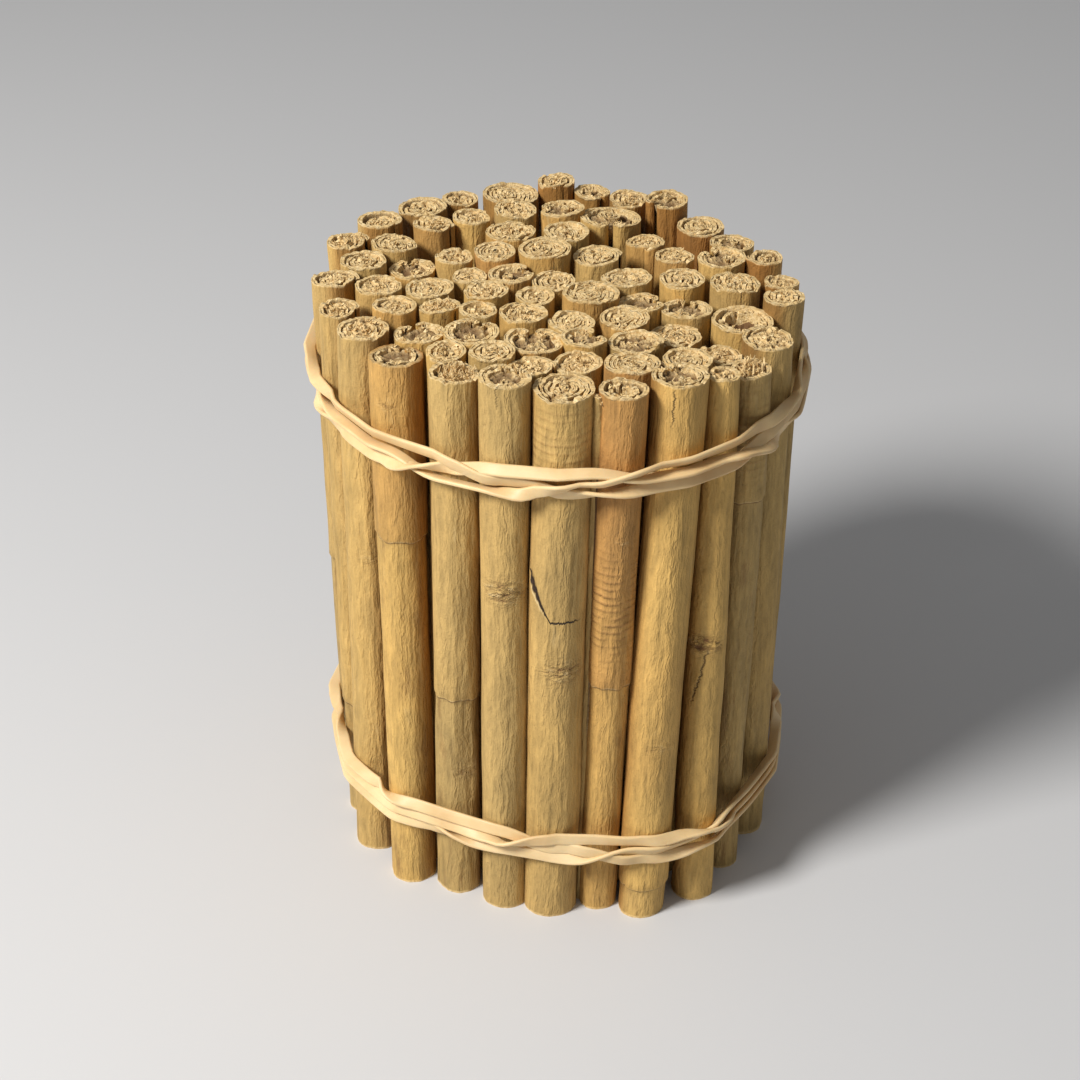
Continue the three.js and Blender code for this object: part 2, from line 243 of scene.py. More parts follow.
# %% The whole plan
def plan_quills(heads, feet):
    for key in "xy":
        low = min(c[key] - c["r"] for c in heads + feet)
        high = max(c[key] + c["r"] for c in heads + feet)
        for circle in heads + feet:
            circle[key] -= (low + high) / 2
    draw = Draws(5)
    quills = []
    for number, (head, foot) in enumerate(zip(heads, feet), 1):
        direction = math.atan2(head["x"], -head["y"])
        rim = rim_spot(direction, head["r"], BUNDLE_RADIUS, HEAD_OVAL)
        spread = draw(-1, 1) * HEAD_SPREAD
        lift = draw() * FOOT_LIFT
        draw()  # the solid model draws a third number here, for the dish of the head
        outer = math.hypot(head["x"], head["y"]) > math.hypot(*rim) - OUTER_RING
        quills.append({
            "number": number, "head": head, "foot": foot, "outer": outer,
            "top": QUILL_LENGTH + HEAD_RISE.get(number, spread),
            "bottom": 0 if outer or number == STANDING_INNER else lift,
        })
    return quills


quills = plan_quills(heads, feet)
print(len(quills), "quills,", sum(q["outer"] for q in quills), "of them on the outside")

# %% [markdown]
# ## Arithmetic for node trees
# A rolled sheet is a formula, and a formula of many Math nodes is hard to read as wires. This
# small class wraps a socket, so that `a * b + c` adds the nodes by itself. It serves geometry
# trees and materials alike.

# %% A field is a socket that can be added and multiplied
class Field:
    def __init__(self, tree, socket):
        self.tree = tree
        self.socket = socket

    def math(self, operation, *others, clamp=False):
        made = self.tree.nodes.new("ShaderNodeMath")
        made.operation = operation
        made.use_clamp = clamp
        for target, value in zip(made.inputs, (self, *others)):
            plug(target, value)
        return Field(self.tree, made.outputs[0])

    def __neg__(self):
        return self * -1

    def __rsub__(self, other):
        return -self + other

    def unit(self):
        return self.math("ADD", 0.0, clamp=True)

    def bell(self, width):
        """1 where the field is 0, falling to nothing within about two widths."""
        return ((self / width) ** 2 * -1).exp()

    def step(self, low, high):
        """A smooth step from 0 to 1 between low and high."""
        share = ((self - low) / (high - low)).unit()
        return share * share * (3 - share * 2)


OPERATIONS = {
    "__add__": "ADD", "__radd__": "ADD", "__mul__": "MULTIPLY", "__rmul__": "MULTIPLY",
    "__sub__": "SUBTRACT", "__truediv__": "DIVIDE", "__pow__": "POWER", "__abs__": "ABSOLUTE",
    "above": "GREATER_THAN", "least": "MINIMUM", "most": "MAXIMUM", "floor": "FLOOR",
    "root": "SQRT", "exp": "EXPONENT", "sign": "SIGN", "sin": "SINE", "cos": "COSINE",
}
for name, operation in OPERATIONS.items():
    setattr(Field, name, functools.partialmethod(Field.math, operation))
print("a field knows", len(OPERATIONS), "more operations")


# %% Nodes, vectors and noise
def plug(target, value):
    """Links a field to a socket, or writes a plain value on it."""
    if isinstance(value, Field):
        value.tree.links.new(value.socket, target)
    else:
        target.default_value = value


def mix(low, high, share):
    return low + (high - low) * share


def node(tree, kind, inputs=None, **settings):
    """A new node with its settings and its inputs, the latter by name."""
    made = tree.nodes.new(kind)
    for key, value in settings.items():
        setattr(made, key, value)
    for key, value in (inputs or {}).items():
        plug(made.inputs[key], value)
    return made


def out(made, key=0):
    return Field(made.id_data, made.outputs[key])


def geo(tree, kind, inputs=None, **settings):
    """The first output of a new geometry node."""
    return out(node(tree, "GeometryNode" + kind, inputs, **settings))


def tree_of(*values):
    return next(value.tree for value in values if isinstance(value, Field))


def vector(x=0.0, y=0.0, z=0.0, tree=None):
    tree = tree or tree_of(x, y, z)
    return out(node(tree, "ShaderNodeCombineXYZ", {"X": x, "Y": y, "Z": z}))


def split(whole):
    """The three parts of a vector."""
    made = node(whole.tree, "ShaderNodeSeparateXYZ", {"Vector": whole})
    return [out(made, part) for part in "XYZ"]


def noise_node(place, scale, seed=0.0, detail=2.0, rough=0.5):
    place = vector(*place)
    return node(place.tree, "ShaderNodeTexNoise",
                {"Vector": place, "Scale": scale, "W": seed, "Detail": detail,
                 "Roughness": rough}, noise_dimensions="4D")


def noise(place, *measures):
    """Smooth noise about 0, within roughly -0.5 to 0.5."""
    return out(noise_node(place, *measures)) - 0.5


print("fields are ready")

# %% [markdown]
# ## A sheet of rolled bark
# Bark rolls up because its inner face shrinks as it dries. One sheet may curl in from both
# edges, which gives a scroll with a cleft, or from one edge, which gives a plain spiral. Both
# are one curve: an arc of constant radius, and past it a curl whose radius shrinks steadily with
# the angle it has turned. Such a curl has an exact formula, so each corner of a flat grid can be
# sent straight to its place.
#
# Geometry Nodes suit this. Each point of a small mesh carries one sheet's measures as
# attributes. A grid is put on every point and realized, and fields bend all the grids at once.
# The grid's rows climb the outer face, fold over the head and run down inside, so that a sheet
# is a closed body with a real thickness. Noise that is shared by the sheets of one quill dents
# them together, and other noise frays each end, raises fibres and lumps, and steps down at a lap.

# %% Sizes of the rolled bark
# A length without MM is in millimetres here, and the tree turns it into metres.
LENGTH = QUILL_LENGTH * MM
SEED_STEP = 1.7
WELD = 0.002 * MM
SHARP_BEND = 0.9
SWELLING = 0.05
SWAY = 1.6
FRAY_FINE, FRAY_BROAD = 2, 2.2
PACKED_AT_LAP, PACKED_AT_MARK = 3 * MM, 5 * MM  # rows gather within this of a lap or a knot
LUMPS, GROOVES, TORN_LAP, LAP_BLUR = 0.6, 0.22, 2.4, 0.2 * MM
KNOT_WRINKLES, KNOT_SWELL, DENT_OUTSIDE = 2.2, 0.25, 0.22
GAPE_FROM, GAPE_OVER, FLAP_REACH = 1.5 * MM, 3.5 * MM, 3 * MM
CRACK_LIP, CRACK_DEPTH, CRACK_WIDTH = 0.7, 0.2, 0.5 * MM
EDGE_COLUMNS, FALL_COLUMNS, EDGE_FALL = 2, 4, 0.7
UNEVEN_WALL = 0.9
TUCK, TUCK_OVER = 0.22, 5 * MM  # the share of a quill's radius that hidden faces draw in by
THINNEST = 0.3
BRIM_DEPTH = 1.1 * MM
RIDGE_SPAN = 11 * MM
BURIED, INNER_OPEN = -2.0, 0.4
print("a quill is", LENGTH, "m long, and hidden faces draw in by", TUCK, "of its radius")


# %% What every geometry tree needs
def start_tree(name, sizes):
    """A geometry tree with one geometry in, named sizes, a material, and one geometry out."""
    tree = bpy.data.node_groups.new(name, "GeometryNodeTree")
    face = tree.interface
    face.new_socket("Geometry", in_out="INPUT", socket_type="NodeSocketGeometry")
    for label, value in sizes.items():
        kind = "NodeSocketInt" if isinstance(value, int) else "NodeSocketFloat"
        face.new_socket(label, in_out="INPUT", socket_type=kind).default_value = value
    face.new_socket("Material", in_out="INPUT", socket_type="NodeSocketMaterial")
    face.new_socket("Geometry", in_out="OUTPUT", socket_type="NodeSocketGeometry")
    return tree, node(tree, "NodeGroupInput")


def end_tree(tree, given, geometry):
    """Drops the measures, realizes what was made, gives it the material, and sends it out."""
    plain = geo(tree, "RemoveAttribute", {"Geometry": geometry, "Name": "m_*"},
                pattern_mode="WILDCARD")
    real = geo(tree, "RealizeInstances", {"Geometry": plain})
    dressed = geo(tree, "SetMaterial", {"Geometry": real, "Material": out(given, "Material")})
    node(tree, "NodeGroupOutput", {"Geometry": dressed})
    return tree


class Measures:
    """The numbers that each point carries, as fields; one that isn't there reads as 0."""

    def __init__(self, tree):
        self.tree = tree

    def __getattr__(self, name):
        field = geo(self.tree, "InputNamedAttribute", {"Name": "m_" + name}, data_type="FLOAT")
        setattr(self, name, field)
        return field


def keep(geometry, name, value, *more):
    """Stores a field, or a vector of three, on the points."""
    if more:
        value = vector(value, *more, tree=geometry.tree)
    return geo(geometry.tree, "StoreNamedAttribute",
               {"Geometry": geometry, "Name": name, "Value": value},
               data_type="FLOAT_VECTOR" if more else "FLOAT", domain="POINT")


def move(geometry, x, y, z):
    return geo(geometry.tree, "SetPosition", {"Geometry": geometry, "Position": vector(x, y, z)})


def put_on(tree, points, thing, **more):
    """A copy of a thing on every point, made real."""
    copies = geo(tree, "InstanceOnPoints", {"Points": points, "Instance": thing, **more})
    return geo(tree, "RealizeInstances", {"Geometry": copies})


def weld(geometry):
    return geo(geometry.tree, "MergeByDistance", {"Geometry": geometry, "Distance": WELD})


# %% How a quill stands, and how its sheets curl
def stand(m, x, y, z):
    """Swells a quill's section, turns it, and leans and sways it between foot and head."""
    swell = 1 + noise((0.0, 0.0, z), 22, m.seed, 1) * SWELLING
    size = swell * mix(m.foot_size, 1.0, z / LENGTH)
    x, y = x * size, y * size
    sway = noise((0.0, 0.0, z), 14, m.seed + 2, 0) * SWAY * MM
    cos, sin = m.facing.cos(), m.facing.sin()
    world_x = mix(m.foot_x, m.head_x, z / LENGTH) + x * cos - y * sin + sway * sin
    world_y = mix(m.foot_y, m.head_y, z / LENGTH) + x * sin + y * cos + sway * cos
    return world_x, world_y


def roll_up(m, turned):
    """(x, y, length) where a sheet has turned by an angle, from the middle of its arc."""
    angle, mirror = abs(turned), turned.sign()
    on_arc, in_curl = angle.least(m.arc), angle.most(m.arc)
    shrink = m.radius * m.slope
    first = m.radius * m.curl
    radius = first + shrink * (in_curl - m.arc)

    def primitive(size, at):
        return size * at.sin() + shrink * at.cos(), shrink * at.sin() - size * at.cos()

    here, join = primitive(radius, in_curl), primitive(first, m.arc)
    x = (m.radius * on_arc.sin() + here[0] - join[0]) * mirror
    y = here[1] - join[1] - m.radius * on_arc.cos()
    length = mirror * (m.radius * on_arc + (first + radius) * 0.5 * (in_curl - m.arc))
    return x, y, length


# %% The relief of the outer face
def skin_relief(m, length, z):
    """How far the outer face stands out at a spot of the flat sheet, and what marks it there."""
    lumps = noise((length, z * 0.3), 90, m.seed, 2) * LUMPS * MM
    grooves = noise((length, z * 0.06), 420, m.seed, 2) * GROOVES * MM
    torn = noise((length, 0.2), 300, m.seed, 3) * TORN_LAP * MM
    over_lap = z - m.lap - torn
    under_lap = 1 - over_lap.step(-LAP_BLUR, LAP_BLUR)
    mark_x, mark_z = length - m.mark_side, z - m.mark_high
    mark_far = (mark_x * mark_x * 0.4 + mark_z * mark_z * 1.3).root() / m.mark_size
    knot = mark_far.bell(0.75) * m.knot
    wrinkle = noise((mark_x, mark_z * 1.6), 700, m.seed, 2)
    # A crack runs straight, then bends; on the bent stretch it gapes and its lower lip lifts.
    crack_x, crack_z = length - m.crack_side, z - m.crack_high
    cos, sin = m.crack_turn.cos(), m.crack_turn.sin()
    along = crack_x * cos + crack_z * sin
    bent = (-along).most(0.0) * m.crack_bend
    aside = crack_z * cos - crack_x * sin - bent
    near = 1 - (abs(along) / m.crack_size).step(0.6, 1.1)
    opening = ((-along - GAPE_FROM) / GAPE_OVER).unit() * near * m.crack
    below = aside.least(0.0)
    flap = (-below).above(0) * (below / FLAP_REACH).exp() * opening
    relief = lumps + grooves + knot * (wrinkle * KNOT_WRINKLES + KNOT_SWELL) * MM
    relief = relief - under_lap * m.lap_depth + flap * CRACK_LIP * MM
    relief = relief - aside.bell(CRACK_WIDTH) * near * m.crack * MM * CRACK_DEPTH
    return relief, over_lap, knot, along, aside, m.crack * near


# %% The tree that rolls the bark
def rolled_bark_tree():
    tree, given = start_tree("rolled bark", {"Columns": 73, "Outer Rows": 60, "Inner Rows": 4,
                                             "Head Bias": 1.0})
    columns, outer_rows = out(given, "Columns"), out(given, "Outer Rows")
    inner_rows, bias = out(given, "Inner Rows"), out(given, "Head Bias")
    rows = outer_rows + inner_rows + 1
    # The grid remembers which column and row each corner is in.
    grid = geo(tree, "MeshGrid", {"Vertices X": columns, "Vertices Y": rows})
    index = geo(tree, "InputIndex")
    column = (index / rows + 1e-4).floor()
    grid = keep(grid, "m_column", column)
    grid = keep(grid, "m_row", index - column * rows)
    body = put_on(tree, out(given, "Geometry"), grid)
    m = Measures(tree)

    # Across the sheet.
    across = m.column / (columns - 1)
    tightened = across * (1 - m.tighten) + across * across * m.tighten
    turned = mix(m.start, m.stop, tightened)
    x, y, length = roll_up(m, turned)

    # Along the sheet: rows climb the outer face, fold over the head and come down inside.
    inside = m.row.above(outer_rows - 0.5)
    back = m.row.above(outer_rows + inner_rows - 0.5)
    climb = 1 - (1 - m.row / (outer_rows - 1)).unit() ** bias
    descent = ((m.row - outer_rows) / (inner_rows - 1)).unit() ** 2.5
    share = mix(climb, 1 - descent, inside) * (1 - back)
    side = inside * (1 - back)
    strip = m.sheet * 0.37 + side * 0.7 * MM
    fine = noise((length, strip), 900, m.seed, 1)
    broad = noise((length, m.sheet * 0.71), 260, m.seed, 1)
    broken = noise((length, m.sheet * 1.3), 420, m.seed + 5, 1)
    head = m.high + m.ragged * (fine * FRAY_FINE + broad * FRAY_BROAD)
    head = head + m.cut_x * x + m.cut_y * y - broken.step(0.06, 0.13) * m.chip
    even = mix(m.low, head, share)
    near_lap, near_mark = even - m.lap, even - m.mark_high
    z = even - near_lap * near_lap.bell(PACKED_AT_LAP) * 0.86
    z = z - near_mark * near_mark.bell(PACKED_AT_MARK) * 0.6
    relief, over_lap, knot, along, aside, cracked = skin_relief(m, length, z)

    # The sheet thins to nothing at its two long edges, where both faces meet. Faces that lie
    # hidden between others draw in, except at the two ends.
    from_edge = across.least(1 - across) * (columns - 1)
    edge = (from_edge / EDGE_COLUMNS).unit()
    fall = (1 - (from_edge / FALL_COLUMNS).unit()) ** 2 * m.wall * EDGE_FALL
    uneven = noise((length, z * 0.3 + m.sheet), 500, m.seed + 7, 1)
    thickness = m.wall * (1 + uneven * UNEVEN_WALL)
    buried = m.sheet.above(1.5)
    no_foot = (1 - buried.most(m.outer)) * LENGTH
    depth = (head - z).least(z - m.low + no_foot)
    tuck = (depth / TUCK_OVER).unit() * buried.most(side) * m.whole * TUCK
    outer_face = fall - relief
    inner_face = thickness * edge + fall * (1 - edge)
    inner_face = inner_face.most(outer_face + edge * THINNEST * MM)
    inward = m.inset + tuck + mix(outer_face, inner_face, side)
    x, y = x - inward * turned.sin() + m.off_x, y + inward * turned.cos() + m.off_y

    # Dents that all the sheets of a quill share, strongest in the middle; an oval section.
    dent = noise_node((x, y, z * 0.12), 250, m.seed, 2, 0.6)
    dent_x, dent_y, _ = split(out(dent, "Color"))
    spread = (x * x + y * y) / (m.whole * m.whole)
    dented = m.warp * mix(1.0, DENT_OUTSIDE, spread.unit())
    x = (x + (dent_x - 0.5) * dented) * (1 + m.oval)
    y = (y + (dent_y - 0.5) * dented) * (1 - m.oval)

    # What the material reads: where a spot lies on the flat sheet, on which face, and so on.
    brim = (-depth / BRIM_DEPTH).exp()
    ridges = (z - m.ridge_high).bell(RIDGE_SPAN) * m.ridge
    facing_out = (turned + m.facing - m.outward).cos()
    body = keep(body, "bark", length, z, m.seed)
    body = keep(body, "faces", side, brim, over_lap)
    body = keep(body, "looks", m.tint, ridges, knot)
    body = keep(body, "crack", along, aside, cracked)
    body = keep(body, "open_side", mix(mix(INNER_OPEN, facing_out, m.outer), BURIED, buried))
    body = weld(move(body, *stand(m, x, y, z), z))
    body = geo(tree, "SetShadeSmooth", {"Geometry": body, "Shade Smooth": True}, domain="FACE")
    sharp = geo(tree, "InputMeshEdgeAngle").above(SHARP_BEND)
    body = geo(tree, "SetShadeSmooth",
               {"Geometry": body, "Selection": sharp, "Shade Smooth": False}, domain="EDGE")
    return end_tree(tree, given, body)


bark_tree = rolled_bark_tree()
print("rolled bark:", len(bark_tree.nodes), "nodes")

# %% [markdown]
# ## Growing a piece from a table
# A tree works on a plain mesh of points. One helper makes that mesh from a table of measures,
# runs the tree on it, and keeps the result as an ordinary mesh with the modifier taken off.

# %% Points with measures, and what a tree makes of them
def grow(name, tree, table, sizes, material, places=None, edges=()):
    """One object: the tree's result on a mesh with a point for each row of the table."""
    mesh = bpy.data.meshes.new(name)
    mesh.from_pydata(places or [(0, 0, 0)] * len(table), edges, [])
    for key in sorted(set().union(*table)):
        column = mesh.attributes.new("m_" + key, "FLOAT", "POINT")
        column.data.foreach_set("value", [float(row.get(key, 0)) for row in table])
    made = bpy.data.objects.new(name, mesh)
    bpy.context.collection.objects.link(made)
    modifier = made.modifiers.new(tree.name, "NODES")
    modifier.node_group = tree
    sockets = {item.name: item.identifier for item in tree.interface.items_tree
               if item.in_out == "INPUT"}
    for key, value in sizes.items():
        modifier[sockets[key]] = value
    modifier[sockets["Material"]] = material
    graph = bpy.context.evaluated_depsgraph_get()
    made.data = bpy.data.meshes.new_from_object(made.evaluated_get(graph))
    made.data.name = name
    made.modifiers.clear()
    made.data.calc_loop_triangles()
    print(name, len(table), "points,", len(made.data.loop_triangles), "triangles")
    return made


# %% [markdown]
# ## How each quill is rolled
# A scroll is a sheet curled in from both edges, with a second layer nested in it, a cleft where
# the curls meet, and a smaller roll packed in under them. A spiral is rolled up from one edge. A
# hollow one is a spiral of a few turns. A crumbled one is a spiral of broken, buckled layers
# inside a sound skin. The quills that tell the bundle apart have a kind and a turn of their own,
# and the others draw theirs, with their looseness and their frayed edges, from a fixed seed.

# %% Kinds of quills
SKIN_WALL = 0.85
SKIN_TURNS, LAYERS_FROM, HOLLOW_TURNS = 1.12, 1.05, (2.1, 2.5)
SCROLL_ARC, SCROLL_CURL = math.radians(146), 0.355
CURL_HOLE = 0.35
NESTED_FROM = 3.6  # a scroll of this radius or more has a second layer nested in it
SKIN_REACH, NESTED_REACH, CURL_FROM = 2.6, 0.8, 2.4
FILLER_NESTED, FILLER_PLAIN = 0.68, 0.645
SCROLL_SHAPES = {57: (math.radians(133), 0.42), 58: (math.radians(120), 0.46)}
KIND_NUMBERS = {
    "spiral": (1, 3, 8, 16, 26, 29, 30, 31, 35, 37, 42, 45, 47, 68, 72, 73, 76),
    "scroll": (7, 13, 20, 22, 55, 56, 57, 58, 62, 71, 75),
    "hollow": (53, 74, 2),
    "crumbled": (4, 6, 9, 15, 17, 36, 38, 40, 46, 48, 54, 60, 61, 63, 65, 66, 69, 70, 77),
    "dense": (24, 34, 39, 51, 67),
}
TURNS = {75: 12, 71: -12, 62: 30, 57: 5, 58: -60, 13: 180, 55: 20, 56: -30}
FRONT = (30, 46, 54, 62, 70, 71, 72, 73, 74, 75, 76, 77)
LAPS = {62: 86, 70: 52, 74: 59.5, 75: 7.5, 77: 96, 30: 60, 46: 30, 29: 66, 15: 88, 8: 38}
LAP_DEPTH = 0.42
OUTER_SWELL, INNER_SWELL = -0.05, 0.2
SWELLS = {4: 0.55, 12: 0.25, 73: -0.1}
SHIFTS = {4: (-0.4, 0.1), 73: (0.3, 3.0)}
OUTER_TURN = 50
WARP, CRUMBLED_WARP = (1.9, 3.0), 1.3
OVAL = 0.03
PLAIN_TINTS = (0.1, 0.9)
PITCH, DENSE_PITCH = (0.86, 1.1), 0.85
BARK_SHARE = (0.64, 0.82)  # of the pitch; the rest is the space between layers
FIRST_INSET, FILLER_HOLE = 0.3, 0.3
SPIRAL_DROP, LAYER_DROP, FILLER_DROP = (0, 0.6), (0, 0.5), (0, 1.0)
CURL_END, FILLER_FIT = (0.88, 1.0), (0.94, 1.02)
NOWHERE = -1.0
MARK_BLANKS = {"mark_high": NOWHERE, "mark_size": MM, "crack_high": NOWHERE, "crack_size": MM}
SLANT = 0.06
# Marks of single quills. An angle is in degrees to the right of the side that faces the viewer.
TINTS = {30: 0.2, 54: 0.35, 62: 0.78, 70: 0.18, 71: 0.15, 72: 0.28, 74: 0.95, 75: 0.6, 76: 0.55,
         77: 0.05, 61: 0.1, 46: 0.3, 45: 0.1, 73: 0.2}
RIDGES = {74: (1.0, 79), 72: (0.5, 116), 77: (0.6, 112)}
KNOTS = {71: (0, 82.7, 3.4, 1.2), 72: (14, 65, 3.4, 1.0), 76: (-12, 67, 3.0, 1.3),
         62: (-25, 117, 1.5, 0.5), 74: (15, 95.5, 1.2, 0.5), 70: (20, 33, 2.5, 0.5),
         54: (-5, 76, 2, 0.35), 75: (20, 45, 2.5, 0.4)}
CRACKS = {  # angle, height, turn of the crack, bend, half its length, strength
    72: (-16, 77.2, 0, 1.9, 6.6, 1.0), 76: (-14, 59, 80, 0, 8, 0.4), 75: (-8, 124, 90, 0, 4, 0.4),
    71: (-20, 127, 90, 0, 3, 0.2), 45: (0, 80, 88, 0, 30, 0.3), 30: (15, 40, 90, 0, 16, 0.2),
}


def kind_of(number):
    for kind, numbers in KIND_NUMBERS.items():
        if number in numbers:
            return kind
    draw = Draws(900 + number * 7)
    drawn = [draw() for _ in range(4)][-1]  # the first numbers of close seeds are much alike
    return "scroll" if drawn < 0.4 else "spiral" if drawn < 0.75 else "crumbled"


# %% What the sheets of a quill share, and the marks on its skin
def common_measures(quill, kind, draw):
    """What all the sheets of a quill share, in metres and radians."""
    number, outer, head, foot = (quill[key] for key in ("number", "outer", "head", "foot"))
    outward = math.atan2(head["y"], head["x"]) + math.pi / 2 if outer else 0
    around = math.radians(draw(-OUTER_TURN, OUTER_TURN)) if outer else draw(0, math.tau)
    if number in TURNS:
        around = math.radians(TURNS[number])
    shift = SHIFTS.get(number, (0, 0))
    radius = (head["r"] + SWELLS.get(number, OUTER_SWELL if outer else INNER_SWELL)) * MM
    return {
        **MARK_BLANKS, "radius": radius, "whole": radius,
        **{f"{end}_{axis}": (circle[axis] + more) * MM
           for end, circle in (("foot", foot), ("head", head)) for axis, more in zip("xy", shift)},
        "foot_size": foot["r"] / head["r"], "seed": number * SEED_STEP,
        "low": quill["bottom"] * MM, "high": quill["top"] * MM,
        "outward": outward, "outer": outer,
        "facing": outward + around + (0 if kind == "scroll" else math.pi),
        "warp": draw(*WARP) * (CRUMBLED_WARP if kind == "crumbled" else 1) * MM,
        "oval": draw(-OVAL, OVAL), "cut_x": draw(-SLANT, SLANT), "cut_y": draw(-SLANT, SLANT),
        "lap": LAPS[number] * MM if number in LAPS else NOWHERE,
        "tint": TINTS.get(number, draw(*PLAIN_TINTS)),
    }


def side_place(common, kind, pitch, angle):
    """How far along the flat skin the spot lies that faces an angle from the viewer."""
    eye_x, eye_y, _ = CAMERA_PLACE
    to_eye = math.atan2(eye_y - common["head_y"], eye_x - common["head_x"])
    turned = to_eye + math.radians(angle) + math.pi / 2 - common["facing"]
    if kind == "scroll":
        turned = (turned + math.pi) % math.tau - math.pi
        return common["radius"] * turned
    turned %= math.tau
    return (common["radius"] - pitch * turned / (2 * math.tau)) * turned


def skin_marks(number, *skin):
    marks = {}
    if number in RIDGES:
        marks["ridge"], high = RIDGES[number]
        marks["ridge_high"] = high * MM
    if number in KNOTS:
        angle, high, size, marks["knot"] = KNOTS[number]
        marks.update(mark_side=side_place(*skin, angle), mark_high=high * MM, mark_size=size * MM)
    if number in CRACKS:
        angle, high, turn, marks["crack_bend"], size, marks["crack"] = CRACKS[number]
        marks.update(crack_side=side_place(*skin, angle), crack_high=high * MM,
                     crack_turn=math.radians(turn), crack_size=size * MM)
    return marks


# %% The sheets of one quill
def quill_sheets(quill):
    """(skins, long layers, short layers) of one quill."""
    number = quill["number"]
    kind = kind_of(number)
    draw = Draws(4000 + number * 13)
    draw()  # the first numbers of close seeds are much alike, so it isn't used
    common = common_measures(quill, kind, draw)
    radius, high = common["radius"], common["high"]
    crumble = 1.0 if kind == "crumbled" else 0.0 if kind == "dense" else draw(0.15, 0.5)
    pitch = draw(*PITCH) * MM * (DENSE_PITCH if kind == "dense" else 1)
    under_lap = LAP_DEPTH * MM * (number in LAPS)
    loose = dict(wall=pitch * draw(*BARK_SHARE), inset=FIRST_INSET * MM + under_lap,
                 ragged=(0.4 + crumble * 0.6) * MM, chip=(0.9 + crumble * 1.5) * MM)
    skin = dict(wall=SKIN_WALL * MM, lap_depth=under_lap, ragged=0.45 * MM,
                chip=(0.1 + 0.35 * crumble) * MM, **skin_marks(number, common, kind, pitch))
    numbers = itertools.count(1)

    def sheet(*groups, **changes):
        made = {**common, "sheet": next(numbers)}
        for group in (*groups, changes):
            made.update(group)
        return made

    def spiral(size, first_turn, turns, *groups, **changes):
        return sheet(*groups, radius=size, curl=1, slope=-pitch / (math.tau * size),
                     start=first_turn * math.tau, stop=turns * math.tau, **changes)

    if kind != "scroll":
        turns = draw(*HOLLOW_TURNS) if kind == "hollow" else (radius - CURL_HOLE * MM) / pitch
        skins = [spiral(radius, 0, SKIN_TURNS, skin)]
        return skins, [spiral(radius, LAYERS_FROM, turns, loose, tighten=0.4,
                              high=high - draw(*SPIRAL_DROP) * MM)], []
    nested = radius > NESTED_FROM * MM
    layers = 2 if nested else 1
    arc, curl = SCROLL_SHAPES.get(number, (SCROLL_ARC, SCROLL_CURL))
    curls = (curl * radius - CURL_HOLE * MM) / (layers * pitch) * math.tau
    scroll = dict(arc=arc, curl=curl, slope=-layers * pitch / (math.tau * radius))
    skins = [sheet(skin, scroll, start=-arc - SKIN_REACH, stop=arc + SKIN_REACH)]
    long_layers = []
    if nested:
        reach = arc + curls * NESTED_REACH
        long_layers = [sheet(loose, scroll, start=-reach, stop=reach, inset=pitch + under_lap,
                             high=high - draw(*LAYER_DROP) * MM)]
    short_layers = [sheet(loose, scroll, start=hand * (arc + CURL_FROM), tighten=0.3,
                          stop=hand * (arc + curls * draw(*CURL_END)),
                          high=high - draw(*LAYER_DROP) * MM) for hand in (-1, 1)]
    room = radius - layers * pitch
    filler = room * (FILLER_NESTED if nested else FILLER_PLAIN) * draw(*FILLER_FIT)
    short_layers.append(spiral(filler, 0, (filler - FILLER_HOLE * MM) / pitch, loose,
                               off_y=filler - room, high=high - draw(*FILLER_DROP) * MM))
    return skins, long_layers, short_layers


tables = {name: [] for name in ("front skins", "rim skins", "inner skins", "long", "short")}
for quill in quills:
    skins, long_layers, short_layers = quill_sheets(quill)
    place = "front" if quill["number"] in FRONT else "rim" if quill["outer"] else "inner"
    tables[place + " skins"] += skins
    tables["long"] += long_layers
    tables["short"] += short_layers
print({name: len(table) for name, table in tables.items()})

# %% [markdown]
# ## What bark looks like
# The outside of a scraped quill is tan, paler or redder from one quill to the next, with fine
# wavy fibres along it, soft mottling and a few brown scars. Its cut ends are paler, and the
# crevices between the layers get painted shade, dark brown deeper down. All of it is placed by
# the spot on the flat sheet, so that fibres follow the rolling, and each quill shifts the noise
# by its own seed.

# %% Shader helpers and colours
def read(tree, name, part="Vector"):
    return out(node(tree, "ShaderNodeAttribute", attribute_name=name), part)


def blend(low, high, share, mode="MIX"):
    """One colour mixed over another; colours are fields or plain (red, green, blue)."""
    made = node(tree_of(low, high, share), "ShaderNodeMix", data_type="RGBA", blend_type=mode)
    plug(made.inputs["Factor"], share)
    for target, value in ((made.inputs["A"], low), (made.inputs["B"], high)):
        plug(target, value if isinstance(value, Field) else (*value, 1))
    return out(made, "Result")


def ramp(share, stops):
    made = node(share.tree, "ShaderNodeValToRGB", {"Fac": share})
    points = made.color_ramp.elements
    while len(points) < len(stops):
        points.new(0.5)
    for point, (place, color) in zip(points, stops):
        point.position = place
        point.color = (*color, 1)
    return out(made, "Color")


def new_material(name):
    made = bpy.data.materials.new(name)
    made.use_nodes = True
    return made, made.node_tree, made.node_tree.nodes["Principled BSDF"]


def add_bump(shader, height, strength):
    bump = node(height.tree, "ShaderNodeBump",
                {"Height": height, "Distance": 1.0, "Strength": strength})
    plug(shader.inputs["Normal"], out(bump))
